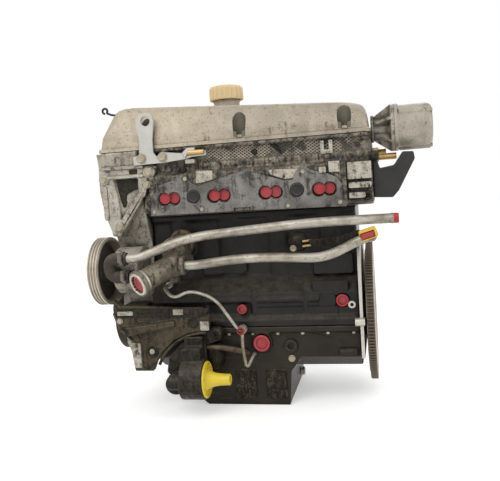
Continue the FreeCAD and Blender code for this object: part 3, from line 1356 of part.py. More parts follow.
def sensor_bracket():
    """Black moulded box on the head's rear end with an arm reaching up under the drum."""
    x = head_rear
    outline = [
        (x, 298), (x, 227), (x + 34, 225), (x + 45, 237), (x + 75, 292), (x + 73, 305), (x + 54, 306),
        (x + 38, 283), (x + 13, 279), (x + 8, 298),
    ]
    keep("sensor_bracket", prism("black_arm", "XZ", outline, -100, -76))


def sensors():
    """Brass fittings in the head's rear end, and the knock sensor with its flat strap."""
    parts = []
    for y, z, reach, radius in ((-40, 308, 26, 8), (-66, 300, 44, 6)):
        hexagon = rod("fitting_hexagon", "X", head_rear, head_rear + 12, (y, z), radius + 3, 6)
        stem = rod("fitting_stem", "X", head_rear + 12, head_rear + reach, (y, z), radius, 12)
        parts.append(join("fitting", [hexagon, stem]))
    keep("head_sensors", group("fittings", parts))

    face = -s.wall_half - 24
    x, z = bearings[3] - 8, 152
    puck = rod("sensor_puck", "Y", face - 14, face, (x, z), 15, 16)
    strap = prism("support_strap", "XZ", [(x + 6, z - 8), (x + 6, z + 2), (x + 88, z + 22), (x + 96, z + 8)],
                  face - 20, face - 14)
    keep("knock_sensor", join("sensor", [puck, strap]))


def spark_plugs():
    """Four plugs at the bottom of their wells."""
    plugs = []
    for number, x in enumerate(cylinders):
        thread = rod(f"plug_thread_part_{number}", "Z", head_z + 14, head_z + 46, (x, 0), 7, 8)
        body = rod(f"plug_body_{number}", "Z", head_z + 46, head_z + 58, (x, 0), 9.2, 6)
        stem = rod(f"plug_stem_{number}", "Z", head_z + 58, head_z + 92, (x, 0), 5, 6)
        plugs.append(join(f"spark_plug_{number}", [thread, body, stem]))
    keep("spark_plugs", group("plug_set", plugs))


def write_nodes():
    """Check every object, then write each sub-part to its own file."""
    doc.recompute()
    failed = [thing.Name for thing in doc.Objects if {"Invalid", "Error"} & set(thing.State)]
    if failed:
        raise RuntimeError(f"these objects failed: {failed}")
    os.makedirs("parts", exist_ok=True)
    for node, thing in nodes.items():
        shape = thing.Shape
        if shape.isNull() or not shape.isValid() or not shape.Solids:
            raise RuntimeError(f"{node} is not a valid solid")
    for node, thing in nodes.items():
        thing.Shape.exportStep(f"parts/{node}.step")


if __name__ == "__main__":
    engine_block()
    main_bearing_caps()
    crankshaft()
    crank_sprocket()
    timing_chain()
    camshaft("intake_camshaft", -1, (0, 3, 1, 2))
    camshaft("exhaust_camshaft", 1, (1, 0, 2, 3))
    cam_sprocket("intake_cam_sprocket", -1)
    cam_sprocket("exhaust_cam_sprocket", 1)
    for number in range(1, 5):
        valve_pair(f"intake_valves_{number}", -1, number - 1, float(s.intake_valve_radius))
        valve_pair(f"exhaust_valves_{number}", 1, number - 1, float(s.exhaust_valve_radius))
    valve_springs()
    head_gasket()
    cylinder_head()
    cam_bearing_caps()
    piston_group("pistons_1_4", (0, 3))
    piston_group("pistons_2_3", (1, 2))
    connecting_rods()
    flywheel()
    crank_bolts()
    ring_gear()
    crank_pulley()
    water_pump()
    timing_cover()
    chain_guides()
    chain_tensioner()
    cam_cover()
    oil_filler_cap()
    fasteners()
    lifting_eyes()
    intake_port_plate()
    intake_core_plugs()
    transport_plugs()
    coolant_outlet()
    pipes()
    pipe_flange()
    mount_bracket()
    oil_filter_housing()
    sump()
    oil_pickup()
    rear_plate()
    vacuum_pump()
    sensor_bracket()
    sensors()
    spark_plugs()
    write_nodes()
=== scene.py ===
"""Looks of a petrol engine: rounded castings, wheels, pipes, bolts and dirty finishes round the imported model.

Sizes in this file are in millimetres until a mesh is written, which is in metres.
+X runs to the flywheel end, +Y to the exhaust side and +Z up.
"""

import json
import math

import bmesh
import bpy
import numpy as np
from bpy.props import FloatProperty, FloatVectorProperty, IntProperty, PointerProperty
from bpy.types import Operator, Panel, PropertyGroup
from mathutils import Matrix, Vector


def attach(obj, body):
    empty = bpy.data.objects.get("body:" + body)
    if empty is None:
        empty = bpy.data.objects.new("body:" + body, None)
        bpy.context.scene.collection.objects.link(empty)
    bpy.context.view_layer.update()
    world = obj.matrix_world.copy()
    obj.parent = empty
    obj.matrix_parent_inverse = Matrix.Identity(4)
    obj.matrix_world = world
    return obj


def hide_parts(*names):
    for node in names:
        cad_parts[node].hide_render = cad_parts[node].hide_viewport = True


bl_info = {
    "name": "Petrol engine",
    "version": (1, 0, 0),
    "blender": (4, 5, 0),
    "location": "View3D > Sidebar > Engine",
    "description": "Builds a used in-line petrol engine with twin camshafts round its packed model",
    "category": "Object",
}

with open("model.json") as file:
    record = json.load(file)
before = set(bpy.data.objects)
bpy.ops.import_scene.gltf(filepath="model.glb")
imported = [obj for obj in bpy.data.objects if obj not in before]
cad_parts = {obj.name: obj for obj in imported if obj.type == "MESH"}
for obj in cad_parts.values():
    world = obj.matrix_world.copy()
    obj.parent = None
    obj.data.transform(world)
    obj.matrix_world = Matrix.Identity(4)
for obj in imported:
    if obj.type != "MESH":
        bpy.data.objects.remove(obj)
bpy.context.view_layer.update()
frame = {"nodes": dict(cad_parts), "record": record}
MM = 0.001
CYLINDERS = (-372.0, -274.0, -176.0, -78.0)
POCKETS = (-410.0, -229.0, -37.0)
RIM_Z, PORT_Z = 352.0, 248.0
COVER_FRONT, COVER_REAR, COVER_HALF = -512.0, 8.0, 125.0
POCKET_Y, CREST_X = 116.0, -468.0
PLATE_FACE, FLOOR_Z = -127.0, -160.3
UP, AHEAD, ACROSS = (0, 0, 1), (1, 0, 0), (0, 1, 0)
NEAR, FORE = (0, -1, 0), (-1, 0, 0)
PUMP_AXIS, DRUM_AXIS = (-107.4, 113.1), (-60, 352)
FILLER = (-287, 38, 0)
SPIGOT_START, SPIGOT_END = np.array((-368.0, -138.0, 126.0)), np.array((-417.0, -210.0, 98.0))
SPIGOT_WAY = (SPIGOT_END - SPIGOT_START) / np.linalg.norm(SPIGOT_END - SPIGOT_START)
OVAL = 1.6
UPPER_PIPE = [(-447, -175, 143), (-425, -175, 143), (-336, -155, 175), (-104, -155, 191), (44, -155, 191)]
LOWER_PIPE = [
    (-340, -160, 124), (-320, -160, 124), (-215, -165, 135), (-80, -165, 128), (-26, -146, 152),
    (2, -146, 162), (2, -172, 162),
]
OIL_FEED = [
    (-393, -100, 80), (-393, -140, 80), (-372, -150, 60), (-341, -140, 74), (-293, -140, 58), (-257, -135, 0),
    (-247, -140, -6),
]
OIL_DRAIN = [(-247, -132, -10), (-247, -136, -42), (-241, -136, -79), (-228, -134, -55), (-228, -110, -55)]
HOSE = [(-447, -175, 143), (-484, -175, 143), (-484, -168, 108), (-447, -168, 108)]


# surfaces

def eased(corners, radius, steps=5):
    """A line of points whose inner corners are replaced by parabolic arcs.

    Each arc is (1-t)^2 a + 2t(1-t) p + t^2 b. The corner is p, and a and b lie a radius before and after it.
    """
    points = np.asarray(corners, float)
    radii = np.broadcast_to(np.asarray(radius, float), (len(points),))
    share = np.linspace(0, 1, steps)[:, None]
    line = [points[:1]]
    for before, here, after, reach in zip(points, points[1:], points[2:], radii[1:]):
        back, on = before - here, after - here
        far_back, far_on = np.linalg.norm(back), np.linalg.norm(on)
        step = min(reach, 0.48 * far_back, 0.48 * far_on)
        start, end = here + back * step / far_back, here + on * step / far_on
        line.append((1 - share) ** 2 * start + 2 * share * (1 - share) * here + share ** 2 * end)
    line.append(points[-1:])
    return np.concatenate(line)


def turned(profile, centre, way=AHEAD, sides=72, outline=None):
    """A profile of (along, radius) rows turned about an axis; the outline scales the radius by angle."""
    profile = np.asarray(profile, float)
    way = np.asarray(way, float) / np.linalg.norm(way)
    first = np.cross(way, (0, 0, 1) if abs(way[2]) < 0.9 else (0, 1, 0))
    first /= np.linalg.norm(first)
    second = np.cross(way, first)
    angle = np.linspace(0, 2 * math.pi, sides, endpoint=False)
    shape = np.ones(sides) if outline is None else outline(angle)
    spoke = (np.cos(angle)[:, None] * first + np.sin(angle)[:, None] * second) * shape[:, None]
    return np.asarray(centre, float) + profile[:, :1, None] * way + profile[:, 1:, None] * spoke


def swept(path, radius, sides=24, aside=(0.15, 0.35, 0.92)):
    """A round tube along a line: each of its points carries a circle square to the line's direction."""
    path = np.asarray(path, float)
    along = np.gradient(path, axis=0)
    along /= np.linalg.norm(along, axis=1)[:, None]
    first = np.cross(along, np.asarray(aside, float))
    first /= np.linalg.norm(first, axis=1)[:, None]
    second = np.cross(along, first)
    angle = np.linspace(0, 2 * math.pi, sides, endpoint=False)
    reach = np.broadcast_to(np.asarray(radius, float), (len(path),))[:, None, None]
    circle = np.cos(angle)[:, None] * first[:, None] + np.sin(angle)[:, None] * second[:, None]
    return path[:, None] + reach * circle


def stepped(path, gap=3.0):
    """The same line with points about a gap apart, found by length along it."""
    path = np.asarray(path, float)
    run = np.concatenate([[0], np.cumsum(np.linalg.norm(np.diff(path, axis=0), axis=1))])
    spots = np.linspace(0, run[-1], max(int(run[-1] / gap), 4))
    return np.stack([np.interp(spots, run, path[:, axis]) for axis in range(3)], axis=-1)


def linked(name, mesh):
    """A new object for a mesh, in the scene."""
    piece = bpy.data.objects.new(name, mesh)
    bpy.context.scene.collection.objects.link(piece)
    return piece


def welded(mesh, sharp=38, recalc=True):
    """Merge doubles, point the faces outwards and shade smooth except over sharp edges."""
    net = bmesh.new()
    net.from_mesh(mesh)
    bmesh.ops.remove_doubles(net, verts=net.verts, dist=2e-6)
    bmesh.ops.dissolve_degenerate(net, edges=net.edges, dist=1e-7)
    if recalc:
        bmesh.ops.recalc_face_normals(net, faces=net.faces)
    net.to_mesh(mesh)
    net.free()
    mesh.polygons.foreach_set("use_smooth", np.ones(len(mesh.polygons), bool))
    mesh.set_sharp_from_angle(angle=math.radians(sharp))


def shaped(name, grids, sharp=38, around=True, capped=True):
    """One piece from grids of points (rows, columns, 3): quads between rows and columns, flat ends."""
    points, faces, base = [], [], 0
    for grid in grids:
        rows, columns = grid.shape[:2]
        index = np.arange(rows * columns).reshape(rows, columns) + base
        left, right = (index, np.roll(index, -1, axis=1)) if around else (index[:, :-1], index[:, 1:])
        faces += np.stack([left[:-1], right[:-1], right[1:], left[1:]], axis=-1).reshape(-1, 4).tolist()
        if capped and around:
            faces += [index[0, ::-1].tolist(), index[-1].tolist()]
        points.append(grid.reshape(-1, 3) * MM)
        base += rows * columns
    mesh = bpy.data.meshes.new(name)
    mesh.from_pydata(np.concatenate(points).tolist(), [], faces)
    welded(mesh, sharp)
    return linked(name, mesh)


def applied(piece):
    """The piece with its modifiers worked into its mesh."""
    bpy.context.view_layer.update()
    mesh = bpy.data.meshes.new_from_object(piece.evaluated_get(bpy.context.evaluated_depsgraph_get()))
    piece.modifiers.clear()
    piece.data = mesh
    return piece


def drilled(piece, grids, sharp=38):
    """Cut closed grids out of a piece."""
    tool = shaped("drill", grids)
    cutter = piece.modifiers.new("drill", "BOOLEAN")
    cutter.operation, cutter.solver, cutter.object = "DIFFERENCE", "EXACT", tool
    applied(piece)
    bpy.data.objects.remove(tool)
    piece.data.polygons.foreach_set("use_smooth", np.ones(len(piece.data.polygons), bool))
    piece.data.set_sharp_from_angle(angle=math.radians(sharp))
    return piece


def copied(node, name):
    """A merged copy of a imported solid."""
    mesh = frame["nodes"][node].data.copy()
    mesh.materials.clear()
    welded(mesh, recalc=False)
    return linked(name, mesh)


def cast(node, grid, passes):
    """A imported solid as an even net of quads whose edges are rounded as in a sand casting."""
    piece = copied(node, f"{node}_cast")
    even = piece.modifiers.new("even", "REMESH")
    even.mode, even.voxel_size, even.use_smooth_shade = "VOXEL", grid * MM, True
    rounded = piece.modifiers.new("rounded", "SMOOTH")
    rounded.factor, rounded.iterations = 0.5, passes
    return applied(piece)


def edged(node, width, segments=2):
    """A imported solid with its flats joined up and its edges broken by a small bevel."""
    piece = copied(node, f"{node}_edged")
    net = bmesh.new()
    net.from_mesh(piece.data)
    bmesh.ops.dissolve_limit(net, angle_limit=math.radians(2), verts=net.verts, edges=net.edges)
    net.to_mesh(piece.data)
    net.free()
    bevel = piece.modifiers.new("bevel", "BEVEL")
    bevel.width, bevel.segments, bevel.limit_method = width * MM, segments, "ANGLE"
    bevel.angle_limit = math.radians(35)
    normals = piece.modifiers.new("normals", "WEIGHTED_NORMAL")
    normals.keep_sharp = True
    piece.data.polygons.foreach_set("use_smooth", np.ones(len(piece.data.polygons), bool))
    return applied(piece)


def dressed(piece, finish, slot, *nodes, body="engine"):
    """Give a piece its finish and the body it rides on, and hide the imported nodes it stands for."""
    piece.data.materials.clear()
    piece.data.materials.append(FINISHES[finish]())
    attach(piece, body)
    if nodes:
        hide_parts(*nodes)
    return piece


def relief(outline, back, front, corner=2.0, ease=1.0):
    """A raised pad: a rounded outline in X and Z carried along Y from a back plane to a front one.

    The last ring is the outline drawn in towards its middle by the ease, which breaks the front edge.
    """
    line = np.asarray(outline, float)
    seam = (line[:1] + line[-1:]) / 2
    loop = eased(np.concatenate([seam, line, seam]), corner, 4)[:-1]
    middle = loop.mean(axis=0)
    reach = np.linalg.norm(loop - middle, axis=1).mean()
    rows = ((back, 1.0), (front - math.copysign(ease, front - back), 1.0), (front, 1 - ease / reach))
    return np.stack([np.stack([middle[0] + (loop[:, 0] - middle[0]) * share, np.full(len(loop), y),
                               middle[1] + (loop[:, 1] - middle[1]) * share], axis=-1) for y, share in rows])


def boxed(west, east, low, high):
    """Outline of an upright rectangle."""
    return [(west, low), (east, low), (east, high), (west, high)]


def boss(place, radius, reach, way=NEAR, hollow=0.0):
    """A round boss with a broken edge, and a dished top where it is hollow."""
    top = [(reach, radius * 0.86), (reach, max(hollow, 0.2 * radius))]
    if hollow:
        top.append((reach * 0.35, hollow * 0.9))
    return turned(eased([(-3, 0), (-3, radius * 1.06), (reach - 1, radius)] + top + [(top[-1][0], 0)], 0.8,
                        4),
                  place, way, 40)


def oval(angle):
    """Radius by angle of an ellipse that is as wide as OVAL times its height."""
    return OVAL / np.sqrt(np.cos(angle) ** 2 + (OVAL * np.sin(angle)) ** 2)


def circle(radius, angles, centre=(0, 0)):
    """Pairs of Y and Z on a circle round an axis along X, one at each angle in radians."""
    return [(centre[0] + radius * math.cos(angle), centre[1] + radius * math.sin(angle)) for angle in angles]


def six_sided(angle):
    """Radius of a hexagon by angle, 1 at the middle of its flats."""
    return 1 / np.cos((angle + math.pi / 6) % (math.pi / 3) - math.pi / 6)


def bolt(place, way, size, height, washer=None):
    """A flanged hexagon head: a round flange, six flats and a chamfered top with a shallow dish."""
    flange = washer or size * 1.35
    foot = turned([(0, 0), (0, flange), (size * 0.18, flange), (size * 0.34, size * 1.02)], place, way, 30)
    flats = turned([(size * 0.2, size * 0.5), (size * 0.2, size), (height - size * 0.12, size)], place, way,
                   30, six_sided)
    top = turned([(height - size * 0.12, size), (height, size * 0.9), (height - size * 0.1, size * 0.5),
                  (height - size * 0.1, 0)], place, way, 30)
    top[0] = flats[-1]
    return [np.concatenate([foot, flats[1:], top[1:]])]


# shader nodes

class Net:
    """Short ways to add and join shader nodes in one tree."""

    def __init__(self, tree):
        self.tree = tree

    def add(self, kind, values=None, **settings):
        """A node with its settings, its inputs given as values or as sockets to join."""
        node = self.tree.nodes.new(kind)
        for key, value in settings.items():
            setattr(node, key, value)
        for key, value in (values or {}).items():
            self.put(node.inputs[key], value)
        return node

    def put(self, socket, value):
        """Join an output to the input, or set the input to a plain value."""
        if isinstance(value, bpy.types.NodeSocket):
            self.tree.links.new(value, socket)
        elif socket.type == "RGBA" and len(value) == 3:
            socket.default_value = (*value, 1)
        else:
            socket.default_value = value

    def noise(self, vector, scale, detail=4, rough=0.55, warp=0.0):
        return self.add("ShaderNodeTexNoise", {"Vector": vector, "Scale": scale, "Detail": detail,
                                               "Roughness": rough, "Distortion": warp}).outputs["Fac"]

    def span(self, value, low, high, start=0.0, end=1.0):
        """The value taken from its range low..high to start..end, held at both ends."""
        return self.add("ShaderNodeMapRange", {"Value": value, "From Min": low, "From Max": high,
                                               "To Min": start, "To Max": end}).outputs["Result"]

    def maths(self, kind, first, second=0.0):
        return self.add("ShaderNodeMath", {0: first, 1: second}, operation=kind).outputs["Value"]

    def plus(self, first, second):
        return self.maths("ADD", first, second)

    def minus(self, first, second):
        return self.maths("SUBTRACT", first, second)

    def times(self, first, second):
        return self.maths("MULTIPLY", first, second)

    def parts(self, vector):
        """X, Y and Z of a vector."""
        return self.add("ShaderNodeSeparateXYZ", {"Vector": vector}).outputs

    def mix(self, share, first, second, blend="MIX"):
        node = self.add("ShaderNodeMix", data_type="RGBA", blend_type=blend)
        for socket, value in ((node.inputs[0], share), (node.inputs[6], first), (node.inputs[7], second)):
            self.put(socket, value)
        return node.outputs[2]

    def mapping(self, vector, place=(0, 0, 0), turn=(0, 0, 0), scale=(1, 1, 1)):
        return self.add("ShaderNodeMapping", {"Vector": vector, "Location": place, "Rotation": turn,
                                              "Scale": scale}).outputs["Vector"]


def fed(socket):
    """The output that feeds an input which is already joined."""
    return socket.links[0].from_socket


def seen_directly(net):
    """1 for rays that come from the camera, off a mirror or through clear matter, and 0 for the others."""
    ray = net.add("ShaderNodeLightPath").outputs
    bent = net.maths("MAXIMUM", ray["Is Glossy Ray"], ray["Is Transmission Ray"])
    return net.maths("MAXIMUM", ray["Is Camera Ray"], bent)


KINDS = {"colour": "NodeSocketColor", "value": "NodeSocketFloat", "vector": "NodeSocketVector"}


def new_group(name, takes, gives):
    """An empty shader node group with named sockets, and its input and output nodes."""
    tree = bpy.data.node_groups.new(name, "ShaderNodeTree")
    for label, (kind, default) in takes.items():
        socket = tree.interface.new_socket(name=label, in_out="INPUT", socket_type=KINDS[kind])
        if default is not None:
            socket.default_value = (*default, 1) if kind == "colour" else default
    for label, kind in gives.items():
        tree.interface.new_socket(name=label, in_out="OUTPUT", socket_type=KINDS[kind])
    net = Net(tree)
    return tree, net, net.add("NodeGroupInput").outputs, net.add("NodeGroupOutput")


def cast_skin():
    """Sand-cast metal: patches of two tones, grain, dark specks, and grime in blotches and runs."""
    tree, net, given, out = new_group("cast_skin", {
        "Vector": ("vector", None), "Light": ("colour", (0.6, 0.6, 0.6)), "Dark": ("colour", (0.4, 0.4, 0.4)),
        "Grime": ("colour", (0.1, 0.08, 0.05)), "Patch Scale": ("value", 14.0),
        "Grain Scale": ("value", 900.0), "Grime Level": ("value", 0.5),
    }, {"Colour": "colour", "Grime Mask": "value", "Height": "value"})
    where = given["Vector"]
    patch = net.noise(where, given["Patch Scale"], 6, 0.62, 0.6)
    grain = net.noise(where, given["Grain Scale"], 3, 0.7)
    pits = net.add("ShaderNodeTexVoronoi", {"Vector": where, "Scale": net.times(given["Grain Scale"], 0.32)},
                   feature="F1").outputs["Distance"]
    tone = net.mix(net.span(patch, 0.36, 0.66), given["Light"], given["Dark"])
    speckled = net.mix(net.span(grain, 0.35, 0.7, 0.0, 0.35), tone, given["Dark"])
    specks = net.span(net.noise(where, net.times(given["Grain Scale"], 0.42), 3, 0.75), 0.585, 0.64, 0.0,
                      0.75)
    speckled = net.mix(specks, speckled, given["Grime"])
    blotch = net.noise(where, net.times(given["Patch Scale"], 2.3), 8, 0.7, 1.2)
    runs = net.noise(net.mapping(where, scale=(1, 1, 0.13)), net.times(given["Patch Scale"], 6.0), 5, 0.6)
    gathered = net.plus(net.times(blotch, 0.62), net.times(runs, 0.38))
    edge = net.minus(0.68, net.times(given["Grime Level"], 0.36))
    mask = net.span(gathered, edge, net.plus(edge, 0.1))
    net.put(out.inputs["Colour"], net.mix(mask, speckled, given["Grime"]))
    net.put(out.inputs["Grime Mask"], mask)
    height = net.plus(net.times(grain, 0.6), net.span(pits, 0.0, 0.35, 0.0, 0.5))
    net.put(out.inputs["Height"], net.plus(height, net.times(mask, 0.25)))
    return tree


def settled_dust():
    """Pale dust on faces that look up, broken up by noise."""
    tree, net, given, out = new_group("settled_dust", {
        "Vector": ("vector", None), "Colour": ("colour", (0.1, 0.1, 0.1)),
        "Dust": ("colour", (0.3, 0.27, 0.22)), "Level": ("value", 0.5), "Scale": ("value", 60.0),
    }, {"Colour": "colour", "Dust Mask": "value"})
    normal = net.add("ShaderNodeNewGeometry").outputs["Normal"]
    upward = net.parts(normal)["Z"]
    breakup = net.noise(given["Vector"], given["Scale"], 6, 0.7, 0.4)
    amount = net.times(net.span(upward, 0.02, 0.9), net.span(breakup, 0.3, 0.68))
    amount = net.times(amount, given["Level"])
    net.put(out.inputs["Colour"], net.mix(amount, given["Colour"], given["Dust"]))
    net.put(out.inputs["Dust Mask"], amount)
    return tree


def chipped_paint():
    """Thin paint with small chips and long scuffs down to a second colour."""
    tree, net, given, out = new_group("chipped_paint", {
        "Vector": ("vector", None), "Paint": ("colour", (0.02, 0.02, 0.02)),
        "Under": ("colour", (0.2, 0.14, 0.09)), "Scale": ("value", 120.0), "Level": ("value", 0.3),
    }, {"Colour": "colour", "Chip Mask": "value", "Height": "value"})
    where = given["Vector"]
    chips = net.noise(where, given["Scale"], 9, 0.75, 0.8)
    scuffs = net.noise(net.mapping(where, scale=(0.12, 1, 1)), net.times(given["Scale"], 1.7), 4, 0.6)
    both = net.maths("MAXIMUM", chips, net.times(scuffs, 0.97))
    edge = net.minus(0.7, net.times(given["Level"], 0.16))
    mask = net.span(both, edge, net.plus(edge, 0.03))
    cloudy = net.noise(where, net.times(given["Scale"], 0.22), 5, 0.6)
    paint = net.mix(net.span(cloudy, 0.35, 0.7, 0.0, 0.45), given["Paint"], given["Under"])
    net.put(out.inputs["Colour"], net.mix(mask, paint, given["Under"]))
    net.put(out.inputs["Chip Mask"], mask)
    net.put(out.inputs["Height"], net.minus(net.times(chips, 0.3), net.times(mask, 0.5)))
    return tree


def lathe_marks():
    """Fine rings round the X axis of the given vector, uneven in strength."""
    tree, net, given, out = new_group("lathe_marks", {
        "Vector": ("vector", None), "Rings": ("value", 900.0),
    }, {"Height": "value", "Sheen": "value"})
    parts = net.parts(given["Vector"])
    flat = net.add("ShaderNodeCombineXYZ", {"Y": parts["Y"], "Z": parts["Z"]}).outputs["Vector"]
    radius = net.add("ShaderNodeVectorMath", {0: flat}, operation="LENGTH").outputs["Value"]
    line = net.add("ShaderNodeCombineXYZ", {"X": radius, "Y": parts["X"]}).outputs["Vector"]
    cut = net.noise(line, given["Rings"], 2, 0.5)
    wide = net.noise(line, net.times(given["Rings"], 0.12), 3, 0.6)
    net.put(out.inputs["Height"], cut)
    net.put(out.inputs["Sheen"], net.span(wide, 0.35, 0.65))
    return tree


def crossed_lines():
    """Two families of thin slanted lines that cross, as on the head's casting skin under the cover."""
    tree, net, given, out = new_group("crossed_lines", {
        "Vector": ("vector", None), "Lines": ("value", 1300.0), "Wander": ("value", 2.0),
    }, {"Line Mask": "value", "Height": "value"})
    parts = net.parts(given["Vector"])
    wander = net.times(net.noise(given["Vector"], 90, 3), given["Wander"])
    waves = []
    for lean, share in ((0.8, 1.0), (-0.62, 0.9)):
        across = net.plus(net.times(parts["X"], lean), parts["Z"])
        phase = net.plus(net.times(across, given["Lines"]), wander)
        waves.append(net.times(net.span(net.maths("SINE", phase), 0.1, 0.85), share))
    both = net.maths("MAXIMUM", waves[0], waves[1])
    net.put(out.inputs["Line Mask"], both)
    net.put(out.inputs["Height"], both)
    return tree


GROUPS = {}


def placed(net, maker, values):
    """A node of a group that is made once and used by many finishes."""
    if maker.__name__ not in GROUPS:
        GROUPS[maker.__name__] = maker()
    return net.add("ShaderNodeGroup", values, node_tree=GROUPS[maker.__name__]).outputs


FINISHES = {}
MADE = {}


def finish(maker):
    """Keep a finish by its name and make its material once, when it is first asked for."""
    def once():
        name = maker.__name__
        material = MADE.get(name)
        if material is None:
            material = MADE[name] = bpy.data.materials.new(f"{name}_finish")
            material.use_nodes = True
            tree = material.node_tree
            tree.nodes.clear()
            net = Net(tree)
            shader = net.add("ShaderNodeBsdfPrincipled")
            net.put(net.add("ShaderNodeOutputMaterial").inputs["Surface"], shader.outputs["BSDF"])
            maker(net, net.add("ShaderNodeTexCoord").outputs["Object"], shader.inputs)
        return material
    FINISHES[maker.__name__] = once
    return once


def crevice_grime_and_shade(net, where, colour, grime, level=0.85, reach=0.012):
    """The colour darkened where neighbouring faces stand close, unevenly: painted shade from an ambient
    occlusion node, tinted as oily grime; the grime argument is the colour of this painted shade.
    """
    open_share = net.add("ShaderNodeAmbientOcclusion", {"Distance": reach}, samples=8).outputs["AO"]
    uneven = net.noise(where, 75, 5, 0.65)
    closed = net.span(net.plus(open_share, net.times(uneven, 0.5)), 1.12, 0.72)
    return net.mix(net.times(closed, level), colour, grime)


def bumped(net, height, strength, depth=0.0004, normal=None):
    """A normal tilted by a height, on top of another normal where one is given."""
    values = {"Height": height, "Strength": strength, "Distance": depth}
    if normal is not None:
        values["Normal"] = normal
    return net.add("ShaderNodeBump", values).outputs["Normal"]


def casting(net, where, shader, light, dark, grime, level, patch=14.0, grain=900.0, dust=0.25, metal=0.35,
            rough=(0.5, 0.75), bump=0.5, gloss=0.4):
    """Fill a shader with cast metal, its grime, its dust and painted shade where neighbouring faces stand
    close.
    """
    skin = placed(net, cast_skin, {"Vector": where, "Light": light, "Dark": dark, "Grime": grime,
                                   "Patch Scale": patch, "Grain Scale": grain, "Grime Level": level})
    dusty = placed(net, settled_dust, {"Vector": where, "Colour": skin["Colour"], "Dust": (0.36, 0.31, 0.24),
                                       "Level": dust, "Scale": patch * 5})
    # painted shade: crevices darkened by ambient occlusion towards a darker grime colour
    net.put(shader["Base Color"], crevice_grime_and_shade(net, where, dusty["Colour"], tuple(0.7 * part for part in grime)))
    net.put(shader["Roughness"], net.span(skin["Grime Mask"], 0, 1, rough[0], rough[1]))
    net.put(shader["Specular IOR Level"], gloss)
    net.put(shader["Metallic"], net.span(skin["Grime Mask"], 0, 1, metal, 0.0))
    net.put(shader["Normal"], bumped(net, skin["Height"], bump))


@finish
def cover_casting(net, where, shader):
    look = bpy.context.scene.engine_look
    parts = net.parts(where)
    rearward = net.span(parts["X"], -0.33, -0.2)
    low = net.span(parts["Z"], 0.425, 0.352)
    pale = net.mix(rearward, tuple(look.cover_colour), tuple(0.8 * part for part in look.cover_colour))
    dull = net.mix(rearward, (0.40, 0.335, 0.245), (0.29, 0.25, 0.2))
    level = net.plus(net.times(low, 0.2 * look.grime), net.span(rearward, 0, 1, 0.16, 0.3))
    casting(net, where, shader, pale, dull, (0.15, 0.105, 0.06), level, patch=17, grain=620, dust=0.1,
            metal=0.12, rough=(0.5, 0.72))
    # painted shade: the insides of the six screw pockets darkened to dark brown, standing in for the shade in
    # these recesses
    side = net.minus(net.maths("ABSOLUTE", parts["Y"]), POCKET_Y * MM)
    nearest = None
    for x in POCKETS:
        away = net.minus(parts["X"], x * MM)
        reach = net.maths("SQRT", net.plus(net.times(away, away), net.times(side, side)))
        nearest = reach if nearest is None else net.maths("MINIMUM", nearest, reach)
    tip = net.span(parts["Z"], 0.392, 0.4092, 0.0129, 0.0022)
    inside = net.span(net.minus(tip, nearest), -0.0002, 0.0004)
    inside = net.times(inside, net.span(parts["Z"], 0.3535, 0.3545))
    net.put(shader["Base Color"], net.mix(net.times(inside, 0.85), fed(shader["Base Color"]),
                                          (0.10, 0.088, 0.068)))


@finish
def case_casting(net, where, shader):
    look = bpy.context.scene.engine_look
    casting(net, where, shader, (0.56, 0.515, 0.43), (0.26, 0.23, 0.18), (0.045, 0.036, 0.025),
            look.grime * 0.85, patch=20, grain=620, dust=0.15, metal=0.2, rough=(0.4, 0.7), bump=0.7)


@finish
def head_casting(net, where, shader):
    look = bpy.context.scene.engine_look
    casting(net, where, shader, (0.33, 0.285, 0.215), (0.07, 0.057, 0.04), (0.012, 0.009, 0.006),
            look.grime * 1.12, patch=30, grain=520, dust=0.2, metal=0.2, rough=(0.38, 0.66), bump=0.8)
    lines = placed(net, crossed_lines, {"Vector": where, "Lines": 1150.0})
    parts = net.parts(where)
    band = net.span(parts["Z"], 0.311, 0.317)
    for axis, outside, inside in (("Z", 0.342, 0.336), ("Y", -0.085, -0.1), ("X", -0.31, -0.29),
                                  ("X", -0.008, -0.03)):
        band = net.times(band, net.span(parts[axis], outside, inside))
    patchy = net.span(net.noise(where, 34, 4, 0.6), 0.42, 0.52, 0.12, 1.0)
    share = net.times(net.times(lines["Line Mask"], band), patchy)
    base = net.mix(net.times(band, 0.85), fed(shader["Base Color"]), (0.022, 0.017, 0.012))
    net.put(shader["Base Color"], net.mix(share, base, (0.38, 0.335, 0.26)))
    under = fed(shader["Normal"])
    net.put(shader["Normal"], bumped(net, net.times(lines["Height"], band), 0.6, 0.0012, under))


@finish
def scraped_alloy(net, where, shader):
    look = bpy.context.scene.engine_look
    casting(net, where, shader, (0.62, 0.575, 0.485), (0.34, 0.3, 0.235), (0.02, 0.016, 0.011),
            look.grime * 0.85, patch=34, grain=520, dust=0.15, metal=0.35, rough=(0.34, 0.66), bump=0.8)


@finish
def bracket_casting(net, where, shader):
    look = bpy.context.scene.engine_look
    casting(net, where, shader, (0.095, 0.075, 0.045), (0.046, 0.035, 0.02), (0.014, 0.011, 0.007),
            look.grime * 0.95, patch=24, grain=520, dust=0.25, metal=0.1, rough=(0.42, 0.66), gloss=0.2)


@finish
def greasy_iron(net, where, shader):
    look = bpy.context.scene.engine_look
    casting(net, where, shader, (0.05, 0.04, 0.026), (0.018, 0.014, 0.009), (0.007, 0.006, 0.004),
            look.grime * 1.1,
            patch=40, grain=420, dust=0.25, metal=0.05, rough=(0.3, 0.55), bump=1.0, gloss=0.18)


@finish
def rusty_iron(net, where, shader):
    look = bpy.context.scene.engine_look
    casting(net, where, shader, (0.16, 0.115, 0.075), (0.085, 0.058, 0.038), (0.03, 0.021, 0.014),
            look.grime * 0.9,
            patch=30, grain=520, dust=0.3, metal=0.1, rough=(0.5, 0.75), bump=0.8, gloss=0.25)


